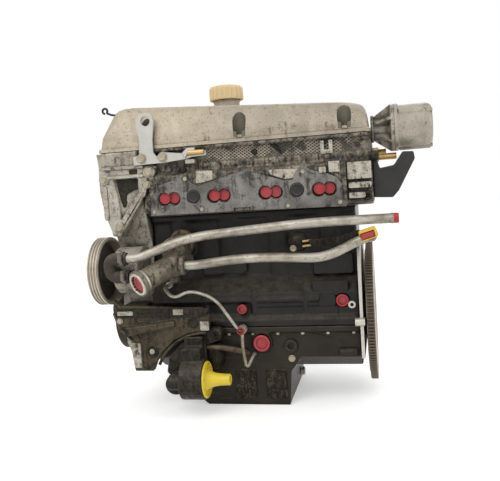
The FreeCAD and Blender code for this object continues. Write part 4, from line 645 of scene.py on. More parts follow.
@finish
def outlet_casting(net, where, shader):
    look = bpy.context.scene.engine_look
    casting(net, where, shader, (0.25, 0.215, 0.16), (0.11, 0.09, 0.06), (0.035, 0.027, 0.018),
            look.grime * 0.95, patch=30, dust=0.25, metal=0.25, rough=(0.4, 0.68))


@finish
def drum_casting(net, where, shader):
    look = bpy.context.scene.engine_look
    casting(net, where, shader, (0.47, 0.43, 0.355), (0.29, 0.26, 0.21), (0.12, 0.09, 0.055),
            look.grime * 0.55, patch=20, dust=0.2, metal=0.3, rough=(0.42, 0.65), bump=0.35)


@finish
def block_paint(net, where, shader):
    look = bpy.context.scene.engine_look
    paint = placed(net, chipped_paint, {"Vector": where, "Paint": tuple(look.block_colour),
                                        "Under": (0.04, 0.034, 0.026), "Scale": 90.0, "Level": look.wear})
    dusty = placed(net, settled_dust, {"Vector": where, "Colour": paint["Colour"], "Dust": (0.13, 0.11, 0.08),
                                       "Level": 0.75, "Scale": 70.0})
    grain, lumps = net.noise(where, 700, 3, 0.7), net.noise(where, 130, 4, 0.6)
    # painted shade: crevices darkened by ambient occlusion to near black
    net.put(shader["Base Color"], crevice_grime_and_shade(net, where, dusty["Colour"], (0.004, 0.004, 0.003)))
    net.put(shader["Specular IOR Level"], 0.2)
    net.put(shader["Roughness"], net.span(dusty["Dust Mask"], 0, 0.5, 0.28, 0.75))
    height = net.plus(paint["Height"], net.plus(grain, net.times(lumps, 1.6)))
    net.put(shader["Normal"], bumped(net, height, 0.6, 0.0006))


@finish
def sump_paint(net, where, shader):
    paint = placed(net, chipped_paint, {"Vector": where, "Paint": (0.019, 0.015, 0.01),
                                        "Under": (0.05, 0.039, 0.026), "Scale": 75.0, "Level": 0.42})
    dusty = placed(net, settled_dust, {"Vector": where, "Colour": paint["Colour"],
                                       "Dust": (0.15, 0.125, 0.09), "Level": 0.6, "Scale": 50.0})
    grain, lumps = net.noise(where, 620, 3, 0.7), net.noise(where, 110, 4, 0.6)
    # painted shade: crevices darkened by ambient occlusion to near black
    net.put(shader["Base Color"], crevice_grime_and_shade(net, where, dusty["Colour"], (0.005, 0.004, 0.003)))
    net.put(shader["Specular IOR Level"], 0.18)
    net.put(shader["Roughness"], net.span(paint["Chip Mask"], 0, 1, 0.34, 0.65))
    height = net.plus(paint["Height"], net.plus(grain, net.times(lumps, 1.4)))
    net.put(shader["Normal"], bumped(net, height, 0.6, 0.0006))


@finish
def sump_crust(net, where, shader):
    casting(net, where, shader, (0.085, 0.07, 0.048), (0.04, 0.032, 0.021), (0.016, 0.012, 0.008), 0.7,
            patch=60, grain=340, dust=0.3, metal=0.0, rough=(0.5, 0.75), bump=1.0, gloss=0.15)


@finish
def port_plate(net, where, shader):
    skin = placed(net, cast_skin, {"Vector": where, "Light": (0.27, 0.255, 0.23), "Dark": (0.085, 0.08, 0.07),
                                   "Grime": (0.03, 0.024, 0.018), "Patch Scale": 17.0, "Grain Scale": 800.0,
                                   "Grime Level": 0.5})
    # painted shade: crevices darkened by ambient occlusion
    net.put(shader["Base Color"], crevice_grime_and_shade(net, where, skin["Colour"], (0.015, 0.012, 0.009), 0.8, 0.008))
    net.put(shader["Roughness"], net.span(skin["Grime Mask"], 0, 1, 0.55, 0.72))
    net.put(shader["Normal"], bumped(net, skin["Height"], 0.25, 0.0002))


def steel(net, where, shader, bright, dull, rust, level, rough=(0.3, 0.6), metal=0.85, scale=60.0):
    """Fill a shader with bare steel that has dulled in clouds and rusts in spots, with painted shade where
    neighbouring faces stand close.
    """
    paint = placed(net, chipped_paint, {"Vector": where, "Paint": bright, "Under": dull, "Scale": scale,
                                        "Level": level})
    spots = net.span(net.noise(where, scale * 5, 8, 0.75), 0.6, 0.68)
    # painted shade: crevices darkened by ambient occlusion towards a dark dull colour
    net.put(shader["Base Color"], crevice_grime_and_shade(net, where, net.mix(spots, paint["Colour"], rust),
                                          tuple(0.25 * part for part in dull), 0.7, 0.006))
    net.put(shader["Roughness"], net.span(net.noise(where, scale * 2.5, 5), 0.35, 0.65, rough[0], rough[1]))
    net.put(shader["Metallic"], net.span(spots, 0, 1, metal, 0.1))
    net.put(shader["Normal"], bumped(net, net.plus(paint["Height"], net.noise(where, scale * 14, 3)), 0.2))


def ringed(net, shader, marks, strength):
    """Press lathe marks into a finish that is already made."""
    net.put(shader["Normal"], bumped(net, marks["Height"], strength, 0.0003, fed(shader["Normal"])))


@finish
def machined_steel(net, where, shader):
    steel(net, where, shader, (0.56, 0.52, 0.46), (0.34, 0.3, 0.25), (0.16, 0.09, 0.045), 0.25)


@finish
def plated_steel(net, where, shader):
    steel(net, where, shader, (0.56, 0.545, 0.5), (0.36, 0.34, 0.3), (0.13, 0.09, 0.055), 0.3, (0.35, 0.6),
          0.35, 70.0)


@finish
def dark_steel(net, where, shader):
    steel(net, where, shader, (0.2, 0.18, 0.155), (0.11, 0.09, 0.07), (0.075, 0.045, 0.025), 0.4,
          (0.38, 0.65), 0.6)


@finish
def gear_steel(net, where, shader):
    steel(net, where, shader, (0.19, 0.155, 0.115), (0.1, 0.075, 0.05), (0.085, 0.05, 0.026), 0.5,
          (0.42, 0.7), 0.5)


@finish
def spring_steel(net, where, shader):
    steel(net, where, shader, (0.32, 0.33, 0.36), (0.2, 0.2, 0.21), (0.09, 0.06, 0.04), 0.2, (0.35, 0.55),
          0.8, 90.0)


@finish
def bolt_zinc(net, where, shader):
    steel(net, where, shader, (0.42, 0.37, 0.28), (0.22, 0.18, 0.125), (0.12, 0.075, 0.04), 0.45, (0.35, 0.6),
          0.6, 110.0)


@finish
def cast_iron(net, where, shader):
    steel(net, where, shader, (0.2, 0.17, 0.14), (0.12, 0.09, 0.065), (0.13, 0.07, 0.035), 0.5, (0.55, 0.8),
          0.2)


@finish
def piston_alloy(net, where, shader):
    steel(net, where, shader, (0.6, 0.59, 0.57), (0.42, 0.4, 0.37), (0.2, 0.16, 0.12), 0.2, (0.3, 0.5), 0.85)


@finish
def brass(net, where, shader):
    steel(net, where, shader, (0.58, 0.39, 0.16), (0.33, 0.21, 0.09), (0.1, 0.07, 0.04), 0.4, (0.3, 0.55),
          0.8, 130.0)


@finish
def pipe_steel(net, where, shader):
    paint = placed(net, chipped_paint, {"Vector": where, "Paint": (0.5, 0.47, 0.4),
                                        "Under": (0.24, 0.2, 0.145), "Scale": 55.0, "Level": 0.45})
    dusty = placed(net, settled_dust, {"Vector": where, "Colour": paint["Colour"], "Dust": (0.5, 0.46, 0.38),
                                       "Level": 0.35, "Scale": 80.0})
    rust = net.span(net.noise(where, 190, 7, 0.7), 0.58, 0.66)
    smear = net.span(net.noise(net.mapping(where, scale=(0.4, 1, 1)), 34, 6, 0.65), 0.46, 0.62, 0.0, 0.8)
    stained = net.mix(smear, dusty["Colour"], (0.15, 0.118, 0.078))
    # painted shade: crevices darkened by ambient occlusion
    net.put(shader["Base Color"], crevice_grime_and_shade(net, where, net.mix(rust, stained, (0.11, 0.075, 0.045)),
                                          (0.03, 0.023, 0.015)))
    net.put(shader["Roughness"], net.span(rust, 0, 1, 0.4, 0.7))
    net.put(shader["Metallic"], net.span(rust, 0, 1, 0.4, 0.0))
    net.put(shader["Normal"], bumped(net, net.plus(paint["Height"], net.noise(where, 500, 3)), 0.25))


@finish
def pulley_steel(net, where, shader):
    centred = net.mapping(where, place=(0, -PUMP_AXIS[0] * MM, -PUMP_AXIS[1] * MM))
    marks = placed(net, lathe_marks, {"Vector": centred, "Rings": 1400.0})
    steel(net, where, shader, (0.62, 0.55, 0.45), (0.34, 0.29, 0.225), (0.12, 0.09, 0.055), 0.35, (0.3, 0.5),
          0.65)
    ringed(net, shader, marks, 0.25)
    net.put(shader["Roughness"], net.span(marks["Sheen"], 0, 1, 0.32, 0.55))
    spoke = net.add("ShaderNodeVectorMath", {0: centred, 1: (0, 1, 1)},
                    operation="MULTIPLY").outputs["Vector"]
    radius = net.add("ShaderNodeVectorMath", {0: spoke}, operation="LENGTH").outputs["Value"]
    hollow = net.times(net.span(radius, 0.0605, 0.058), 0.9)
    along = net.parts(where)["X"]
    # painted shade: a dark band in each V groove of the belt face
    grooves = net.span(net.maths("SINE", net.times(along, 1140.0)), -0.1, 0.75, 0.0, 0.75)
    banded = net.mix(net.times(grooves, net.span(radius, 0.0655, 0.0668)),
                     fed(shader["Base Color"]), (0.1, 0.08, 0.055))
    net.put(shader["Base Color"], net.mix(hollow, banded, (0.02, 0.016, 0.012)))
    net.put(shader["Metallic"], net.span(hollow, 0, 0.8, 0.6, 0.0))


@finish
def crank_wheel_steel(net, where, shader):
    marks = placed(net, lathe_marks, {"Vector": where, "Rings": 1200.0})
    steel(net, where, shader, (0.2, 0.175, 0.14), (0.1, 0.082, 0.06), (0.07, 0.045, 0.028), 0.4, (0.4, 0.65),
          0.5)
    ringed(net, shader, marks, 0.3)


@finish
def friction_face(net, where, shader):
    marks = placed(net, lathe_marks, {"Vector": where, "Rings": 1600.0})
    steel(net, where, shader, (0.42, 0.37, 0.31), (0.25, 0.205, 0.155), (0.15, 0.095, 0.055), 0.35,
          (0.3, 0.5), 0.75)
    ringed(net, shader, marks, 0.35)
    net.put(shader["Roughness"], net.span(marks["Sheen"], 0, 1, 0.3, 0.52))


@finish
def gasket(net, where, shader):
    skin = placed(net, cast_skin, {"Vector": where, "Light": (0.17, 0.165, 0.16), "Dark": (0.1, 0.1, 0.1),
                                   "Grime": (0.03, 0.026, 0.02), "Patch Scale": 60.0, "Grain Scale": 2200.0,
                                   "Grime Level": 0.4})
    net.put(shader["Base Color"], skin["Colour"])
    net.put(shader["Roughness"], net.span(skin["Grime Mask"], 0, 1, 0.6, 0.8))
    net.put(shader["Normal"], bumped(net, skin["Height"], 0.3, 0.0002))


def moulded(net, where, shader, colour, worn, rough, dust, scale=120.0):
    """Fill a shader with moulded plastic: faint flow clouds, small scuffs, dust and painted shade where
    neighbouring faces stand close.
    """
    paint = placed(net, chipped_paint, {"Vector": where, "Paint": colour, "Under": worn, "Scale": scale,
                                        "Level": 0.3})
    dusty = placed(net, settled_dust, {"Vector": where, "Colour": paint["Colour"], "Dust": (0.33, 0.28, 0.21),
                                       "Level": dust, "Scale": 110.0})
    # painted shade: crevices darkened by ambient occlusion towards a dark tone of the plastic
    net.put(shader["Base Color"], crevice_grime_and_shade(net, where, dusty["Colour"], tuple(0.16 * part for part in colour),
                                          0.8, 0.006))
    net.put(shader["Roughness"], net.span(net.noise(where, scale * 2, 5), 0.35, 0.65, rough, rough + 0.2))
    net.put(shader["Normal"], bumped(net, net.noise(where, scale * 9, 3), 0.12, 0.0002))


@finish
def black_plastic(net, where, shader):
    moulded(net, where, shader, (0.02, 0.02, 0.019), (0.055, 0.052, 0.046), 0.42, 0.35)
    net.put(shader["Specular IOR Level"], 0.3)


@finish
def red_plastic(net, where, shader):
    look = bpy.context.scene.engine_look
    moulded(net, where, shader, tuple(look.plug_colour), (0.42, 0.11, 0.11), 0.28, 0.12)


@finish
def yellow_plastic(net, where, shader):
    moulded(net, where, shader, (0.8, 0.62, 0.035), (0.62, 0.45, 0.04), 0.32, 0.1)


@finish
def flange_plastic(net, where, shader):
    moulded(net, where, shader, (0.78, 0.47, 0.05), (0.55, 0.34, 0.06), 0.4, 0.15)


@finish
def cap_plastic(net, where, shader):
    moulded(net, where, shader, (0.78, 0.6, 0.33), (0.6, 0.45, 0.24), 0.45, 0.1)


@finish
def guide_plastic(net, where, shader):
    moulded(net, where, shader, (0.16, 0.12, 0.07), (0.1, 0.07, 0.04), 0.4, 0.0)


@finish
def ceramic(net, where, shader):
    moulded(net, where, shader, (0.8, 0.79, 0.74), (0.5, 0.46, 0.38), 0.25, 0.1)


@finish
def hose_rubber(net, where, shader):
    weave = net.noise(where, 420, 4, 0.7)
    moulded(net, where, shader, (0.042, 0.034, 0.026), (0.095, 0.075, 0.054), 0.6, 0.35, 70.0)
    net.put(shader["Specular IOR Level"], 0.25)
    net.put(shader["Normal"], bumped(net, weave, 0.35, 0.0004))


@finish
def floor_paper(net, where, shader):
    look = bpy.context.scene.engine_look
    tone = net.span(net.noise(where, 3.0, 4), 0.3, 0.7)
    net.put(shader["Base Color"], net.mix(tone, tuple(0.98 * part for part in look.floor_colour),
                                          tuple(look.floor_colour)))
    net.put(shader["Roughness"], 0.95)
    net.put(shader["Specular IOR Level"], 0.0)
    net.put(shader["Emission Color"], (1, 1, 1))
    net.put(shader["Emission Strength"], net.times(seen_directly(net), 0.4))


# sizes and colours that a user may change

class EngineLook(PropertyGroup):
    cover_colour: FloatVectorProperty(name="Cover colour", description="Pale tone of the cam cover",
                                      subtype="COLOR", default=(0.56, 0.485, 0.375), min=0, max=1)
    block_colour: FloatVectorProperty(name="Block colour", description="Paint of the cylinder block",
                                      subtype="COLOR", default=(0.0115, 0.0115, 0.011), min=0, max=1)
    plug_colour: FloatVectorProperty(name="Plug colour", description="Plastic of the transport plugs",
                                     subtype="COLOR", default=(0.36, 0.016, 0.022), min=0, max=1)
    floor_colour: FloatVectorProperty(name="Floor colour", description="Floor under the engine",
                                      subtype="COLOR", default=(0.9, 0.9, 0.9), min=0, max=1)
    grime: FloatProperty(name="Grime", description="Share of the castings under oil and dirt",
                         subtype="FACTOR", default=0.55, min=0, max=1)
    wear: FloatProperty(name="Wear", description="Share of the paint that has chipped off", subtype="FACTOR",
                        default=0.4, min=0, max=1)
    turned_sides: IntProperty(name="Turned sides", description="Faces round a turned part", default=96,
                              min=24, max=256)
    casting_grid: FloatProperty(name="Casting grid", description="Size of a face on the large castings",
                                subtype="DISTANCE", unit="LENGTH", default=0.0028, min=0.0015, max=0.01)
    cover_groove: FloatProperty(name="Cover groove",
                                description="Depth of the groove that sets off the cover's front",
                                subtype="DISTANCE", unit="LENGTH", default=0.0024, min=0, max=0.006)
    key_light: FloatProperty(name="Key light", description="Power of the softbox over the camera",
                             default=16.0, min=0, max=500, unit="POWER")
    sky: FloatProperty(name="Sky", description="Strength of the even light from all round", default=0.75,
                       min=0, max=2)


# operators

class ENGINE_OT_stage(Operator):
    """Pale floor, even sky, three softboxes and the camera"""
    bl_idname = "engine.stage"
    bl_label = "Stage"
    bl_options = {"REGISTER", "UNDO"}

    def execute(self, context):
        look = context.scene.engine_look
        scene = bpy.context.scene
        scene.view_settings.view_transform = "Standard"
        span = np.linspace(-6000, 6000, 9)
        east, north = np.meshgrid(span, span)
        floor = shaped("floor", [np.stack([east, north, np.full_like(east, FLOOR_Z)], axis=-1)], around=False)
        floor.data.materials.append(FINISHES["floor_paper"]())

        world = bpy.data.worlds.new("sky")
        world.use_nodes = True
        world.node_tree.nodes.clear()
        net = Net(world.node_tree)
        strength = net.span(seen_directly(net), 0, 1, look.sky, 1.0)
        sky = net.add("ShaderNodeBackground", {"Color": (1, 1, 1), "Strength": strength})
        net.put(net.add("ShaderNodeOutputWorld").inputs["Surface"], sky.outputs["Background"])
        scene.world = world

        aim = Vector((-0.2, 0.0, 0.14))
        for name, place, size, power in (
            ("key", (-0.9, -1.7, 1.7), 1.3, look.key_light),
            ("side", (1.7, -0.6, 1.0), 1.2, look.key_light * 0.5),
            ("back", (-0.3, 1.9, 1.4), 1.4, look.key_light * 0.7),
        ):
            data = bpy.data.lights.new(name, "AREA")
            data.size, data.energy = size, power
            lamp = bpy.data.objects.new(name, data)
            scene.collection.objects.link(lamp)
            lamp.location = place
            lamp.rotation_euler = (aim - Vector(place)).to_track_quat("-Z", "Y").to_euler()

        data = bpy.data.cameras.new("camera")
        data.lens, data.sensor_width, data.sensor_fit = 43.99, 36.0, "HORIZONTAL"
        camera = bpy.data.objects.new("camera", data)
        scene.collection.objects.link(camera)
        right, up = Vector((0.97587065, 0.20774576, -0.06721741)), Vector((0.04763263, 0.09788251,
                                                                           0.99405742))
        back = -Vector((-0.21309063, 0.97327319, -0.08562519))
        turn = Matrix((right, up, back)).transposed().to_4x4()
        camera.matrix_world = Matrix.Translation(Vector((21.08, -1232.82, 259.06)) * MM) @ turn
        scene.camera = camera
        return {"FINISHED"}


class ENGINE_OT_node_finishes(Operator):
    """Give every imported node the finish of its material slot"""
    bl_idname = "engine.node_finishes"
    bl_label = "Finishes of packed nodes"
    bl_options = {"REGISTER", "UNDO"}

    def execute(self, context):
        for part in frame["record"]["subparts"]:
            mesh = frame["nodes"][part["node"]].data
            mesh.materials.clear()
            mesh.materials.append(FINISHES[part["material_slot"]]())
        return {"FINISHED"}


class ENGINE_OT_castings(Operator):
    """Block, head, sump, timing case and the smaller castings, with rounded edges"""
    bl_idname = "engine.castings"
    bl_label = "Castings"
    bl_options = {"REGISTER", "UNDO"}

    def execute(self, context):
        look = context.scene.engine_look
        grid = look.casting_grid / MM
        for node, size, passes, name, slot in (
            ("engine_block", grid, 3, "block_paint", "block_paint"),
            ("cylinder_head", grid, 2, "head_casting", "head_casting"),
            ("sump", grid, 3, "sump_paint", "sump_paint"),
            ("timing_cover", grid * 0.8, 3, "case_casting", "case_casting"),
            ("mount_bracket", 1.7, 4, "bracket_casting", "bracket_casting"),
            ("oil_filter_housing", 1.6, 5, "greasy_iron", "bracket_casting"),
            ("coolant_outlet", 1.3, 5, "outlet_casting", "bracket_casting"),
            ("water_pump_housing", 1.8, 4, "case_casting", "case_casting"),
        ):
            dressed(cast(node, size, passes), name, slot, node)
        return {"FINISHED"}


class ENGINE_OT_plates(Operator):
    """Flat and bent parts with broken edges"""
    bl_idname = "engine.plates"
    bl_label = "Plates"
    bl_options = {"REGISTER", "UNDO"}

    def execute(self, context):
        for node, width, name, slot in (
            ("rear_plate", 0.8, "machined_steel", "machined_steel"),
            ("lifting_eyes", 0.9, "plated_steel", "bolt_zinc"),
            ("intake_port_plate", 0.5, "port_plate", "port_plate"),
            ("sensor_bracket", 2.2, "black_plastic", "black_plastic"),
            ("head_sensors", 0.6, "brass", "brass"),
        ):
            dressed(edged(node, width), name, slot, node)
        return {"FINISHED"}


def cover_rings():
    """Rings of a rounded rectangle from the rim to the cover's middle line.

    A ring is pulled in from front, rear and sides by amounts read from a table over its height h.
    Its points lie at rim + h * (roof - rim), and the roof falls in a straight line from the front to the rear.
    """
    table = np.array([
        # height, front, rear, side, corner
        (-0.087, 0, 0, 0, 10), (-0.016, 0, 0, 0, 10), (0.0, 1.5, 1.5, 1.5, 10), (0.003, 4, 3.5, 3.2, 10),
        (0.05, 4.4, 3.6, 3.4, 11), (0.26, 7, 4, 4, 14), (0.5, 15, 5, 9, 20), (0.72, 21, 8, 15, 26),
        (0.86, 25, 12, 20, 30), (0.94, 30, 17, 25, 34), (0.985, 37, 24, 31, 38), (1.0, 47, 34, 40, 40),
    ])
    fine = np.concatenate([np.linspace(a, b, 4, endpoint=False) for a, b in zip(table[3:], table[4:])])
    steps = np.concatenate([table[:3], fine, table[-1:]])
    inward = np.linspace(0, 1, 30)[1:, None]
    last = steps[-1]
    reach = COVER_HALF - last[3]
    top = np.concatenate([np.ones_like(inward), last[1] + reach * inward, last[2] + reach * inward,
                          last[3] + reach * inward, last[4] * (1 - inward)], axis=1)
    height, front, rear, side, corner = np.concatenate([steps, top]).T[:, :, None]
    low, high, half = COVER_FRONT + front, COVER_REAR - rear, COVER_HALF - side
    corner = np.minimum(corner, half * 0.999)
    arc = np.linspace(0, math.pi / 2, 12)[None]
    corners = []
    for quarter, (x, y) in enumerate((
        (high - corner, half - corner), (low + corner, half - corner), (low + corner, corner - half),
        (high - corner, corner - half),
    )):
        turn = arc + quarter * math.pi / 2
        corners.append((x + corner * np.cos(turn), y + corner * np.sin(turn)))
    columns_x, columns_y = [], []
    for quarter, count in enumerate((200, 70, 200, 70)):
        (here_x, here_y), (next_x, next_y) = corners[quarter], corners[(quarter + 1) % 4]
        share = np.linspace(0, 1, count + 2)[None, 1:-1]
        columns_x += [here_x, here_x[:, -1:] * (1 - share) + next_x[:, :1] * share]
        columns_y += [here_y, here_y[:, -1:] * (1 - share) + next_y[:, :1] * share]
    x, y = np.concatenate(columns_x, axis=1), np.concatenate(columns_y, axis=1)
    return x, y, np.broadcast_to(height, x.shape)


def cover_surface(groove):
    """The cover's rings with their heights, the groove behind its front and the valley over the plugs."""
    x, y, height = cover_rings()
    roof = 432 - np.clip((x - CREST_X) / 450, -0.1, 1.1) * 30
    z = RIM_Z + height * np.where(height > 0, roof - RIM_Z, 80)
    off_line = x + 431 + (z - 353) * 0.29
    dip = groove * np.exp(-(off_line / 3.2) ** 2) * np.clip(height * 12, 0, 1)
    flat = np.clip((height - 0.8) / 0.2, 0, 1)
    y = y - np.sign(y) * dip * (1 - flat)
    z = z - dip * flat
    inside = np.clip((26 - np.abs(y)) / 5, 0, 1) * np.clip((x + 446) / 6, 0, 1) * np.clip((-22 - x) / 6, 0, 1)
    z = z - 5.5 * flat * inside * inside * (3 - 2 * inside)
    return np.stack([x, y, z], axis=-1)


class ENGINE_OT_cam_cover(Operator):
    """Cam cover with its rim, screw pockets, plug wells and filler neck"""
    bl_idname = "engine.cam_cover"
    bl_label = "Cam cover"
    bl_options = {"REGISTER", "UNDO"}

    def execute(self, context):
        look = context.scene.engine_look
        cover = shaped("cam_cover_shell", [cover_surface(look.cover_groove / MM)], sharp=40)
        tools = []
        bullet = [(RIM_Z + 2, 0), (RIM_Z + 2, 7.5), (364, 7.5), (366, 12.5), (386, 12.5), (394, 10.4),
                  (402, 6.4), (407, 2), (408, 0)]
        for x in POCKETS:
            for side in (-1, 1):
                tools.append(turned(bullet, (x, side * POCKET_Y, 0), UP, 40))
        for x in CYLINDERS:
            tools.append(turned([(362, 0), (362, 13), (460, 13), (460, 0)], (x, 0, 0), UP, 48))
        drilled(cover, tools, 40)
        dressed(cover, "cover_casting", "cover_casting", "cam_cover")
        neck = shaped("filler_neck", [turned(eased([(405, 0), (405, 33), (422, 29), (426, 27), (440, 27),
                                                    (442, 29), (444, 29),
                                                    (444, 0)], 2), FILLER, UP, look.turned_sides)])
        dressed(neck, "cover_casting", "cover_casting")
        seals = [turned(eased([(408, 13.4), (408, 15.8), (411, 16.6), (413.5, 15), (412, 12.6), (400, 12.2)],
                              1),
                        (x, 0, (CREST_X - x) / 15), UP, 48) for x in CYLINDERS]
        dressed(shaped("plug_well_seals", seals, capped=False), "black_plastic", "black_plastic")
        return {"FINISHED"}


class ENGINE_OT_filler_cap(Operator):
    """Ribbed oil filler cap"""
    bl_idname = "engine.filler_cap"
    bl_label = "Filler cap"
    bl_options = {"REGISTER", "UNDO"}

    def execute(self, context):
        profile = eased([(444.4, 0), (444.4, 34.6), (446, 35.6), (469, 35.2), (473, 32), (474, 27),
                         (472.4, 24), (472.4, 0)],
                        2.2)
        cap = turned(profile, FILLER, UP, 240,
                     lambda angle: 1 - 0.045 * np.clip(np.cos(angle * 20) * 2.2, -1, 1) * 0.5 - 0.0225)
        cap[-4:] = turned(profile[-4:], FILLER, UP, 240)
        bar = turned([(0, 0), (0, 22), (1.6, 22), (2.0, 21), (2.0, 0)], (-287, 38, 471.6), UP, 60,
                     lambda angle: 1 / np.maximum(np.abs(np.cos(angle)), np.abs(np.sin(angle)) * 3.6))
        piece = shaped("filler_cap", [cap, bar])
        dressed(piece, "cap_plastic", "cap_plastic", "oil_filler_cap", body="filler_cap")
        return {"FINISHED"}


def ribbed(start, end, radius, ribs, depth):
    """Rows of a belt face: V grooves of equal pitch between two lands."""
    places = np.linspace(start, end, ribs * 4 + 1)
    fall = np.tile([0, depth, depth, 0], ribs)
    return [(place, radius - drop) for place, drop in zip(places, fall)] + [(end, radius)]


class ENGINE_OT_front_wheels(Operator):
    """Crank pulley and water pump pulley, turned"""
    bl_idname = "engine.front_wheels"
    bl_label = "Pulleys"
    bl_options = {"REGISTER", "UNDO"}

    def execute(self, context):
        look = context.scene.engine_look
        rim = 67.9
        pump = [(-533, 0), (-533, 18), (-531, 22), (-531, rim - 12), (-533, rim - 8), (-533, rim - 3),
                (-531.5, rim)]
        pump += ribbed(-530, -513, rim - 0.4, 3, 2.6)
        pump += [(-511, rim), (-509.4, rim - 1), (-509, rim - 5), (-511, rim - 7), (-526, rim - 8.5),
                 (-527, 50), (-527, 22), (-525, 20), (-513, 20), (-513, 8.2), (-513, 0)]
        wheel = shaped("pump_pulley_wheel", [
            turned(eased(pump, 0.8, 3), (0, *PUMP_AXIS), AHEAD, look.turned_sides),
            turned(eased([(-513.5, 0), (-513.5, 8), (-470, 8), (-470, 0)], 1, 3), (0, *PUMP_AXIS), AHEAD, 40),
        ])
        dressed(wheel, "pulley_steel", "pulley_steel", "water_pump_pulley", body="water_pump")
        heads = sum([bolt((-531, y, z), FORE, 5, 5) for y,
                     z in circle(13, (0.5, 2.07, 3.64, 5.21), PUMP_AXIS)], [])
        dressed(shaped("pump_pulley_bolts", heads, 30), "bolt_zinc", "bolt_zinc", body="water_pump")

        crank = [(-532, 15.2), (-532, 25), (-531, 27), (-524, 29), (-523, 32), (-523, 52), (-524, 57),
                 (-531, 58), (-532, 60),
                 (-532, 62), (-530.5, 62.5), (-530.5, 64), (-532, 64.5), (-532, 68.5), (-531, 70)]
        crank += ribbed(-529, -513, 69.6, 6, 2.6)
        crank += [(-511, 70), (-509.2, 69), (-509, 66), (-509, 20), (-509, 15.2)]
        rows = np.asarray(eased(crank, 0.8, 3))
        body = turned(np.concatenate([rows, rows[:1]]), (0, 0, 0), AHEAD, look.turned_sides)
        dressed(shaped("crank_pulley_wheel", [body], capped=False), "crank_wheel_steel", "dark_steel",
                "crank_pulley", body="crank_train")
        return {"FINISHED"}


class ENGINE_OT_flywheel(Operator):
    """Flywheel with its bolt holes, starter ring and the crankshaft's bolts"""
    bl_idname = "engine.flywheel"
    bl_label = "Flywheel"
    bl_options = {"REGISTER", "UNDO"}

    def execute(self, context):
        look = context.scene.engine_look
        profile = [(-20, 16), (-20, 54), (-16.4, 60), (-16, 122), (-15, 123), (-1, 123), (0, 122), (0, 77),
                   (-1.5, 75.5),
                   (-7, 71), (-8, 69), (-8, 46), (-8.6, 45), (-8.6, 24), (-8, 23), (-8, 17), (-9, 16),
                   (-20, 16)]
        wheel = shaped("flywheel_disc", [turned(eased(profile, 0.8, 3), (0, 0, 0), AHEAD,
                                                look.turned_sides * 2)], capped=False)
        sixths = [number * math.pi / 3 for number in range(6)]
        thirds = [math.radians(30 + 120 * number) for number in range(3)]
        tools = [turned([(-30, 0), (-30, 4), (-0.9, 4), (0.2, 5), (2, 5), (2, 0)], (0, y, z), AHEAD, 28)
                 for y, z in circle(115, sixths)]
        tools += [turned([(-30, 0), (-30, 3), (2, 3), (2, 0)], (0, y, z), AHEAD, 24) for y,
                  z in circle(115, thirds)]
        drilled(wheel, tools, 35)
        dressed(wheel, "friction_face", "gear_steel", "flywheel", body="crank_train")

        teeth, tip, root = 134, 136.0, 131.5
        tooth = np.clip(np.abs((np.arange(teeth * 8) % 8) - 3.5) - 1.0, 0, 1.6) / 1.6
        radius = tip - (tip - root) * tooth
        rows = [(-14, 123, 0), (-14, 1, 1), (-13.2, 1, 1), (-1.8, 1, 1), (-1, 1, 1), (-1, 123, 0)]
        angle = np.arange(teeth * 8) / (teeth * 8) * 2 * math.pi
        layers = []
        for x, inner, toothed in rows:
            reach = radius - (0.7 if x in (-14, -1) else 0) if toothed else np.full_like(radius, inner)
            layers.append(np.stack([np.full_like(angle, x), reach * np.cos(angle), reach * np.sin(angle)],
                                   axis=-1))
        layers.append(layers[0])
        ring = shaped("starter_ring", [np.stack(layers)], 30, capped=False)
        dressed(ring, "gear_steel", "gear_steel", "ring_gear", body="crank_train")

        heads = sum([bolt((-8.6, y, z), AHEAD, 8.2, 7.6) for y, z in circle(35, sixths)], [])
        heads += bolt((-532, 0, 0), FORE, 13, 13, 21)
        heads += [turned([(-8.8, 0), (-8.8, 15.6), (-14, 15.6), (-14, 0)], (0, 0, 0), AHEAD, 48)]
        dressed(shaped("crankshaft_bolts", heads, 30), "dark_steel", "dark_steel", "crank_bolts",
                body="crank_train")
        return {"FINISHED"}


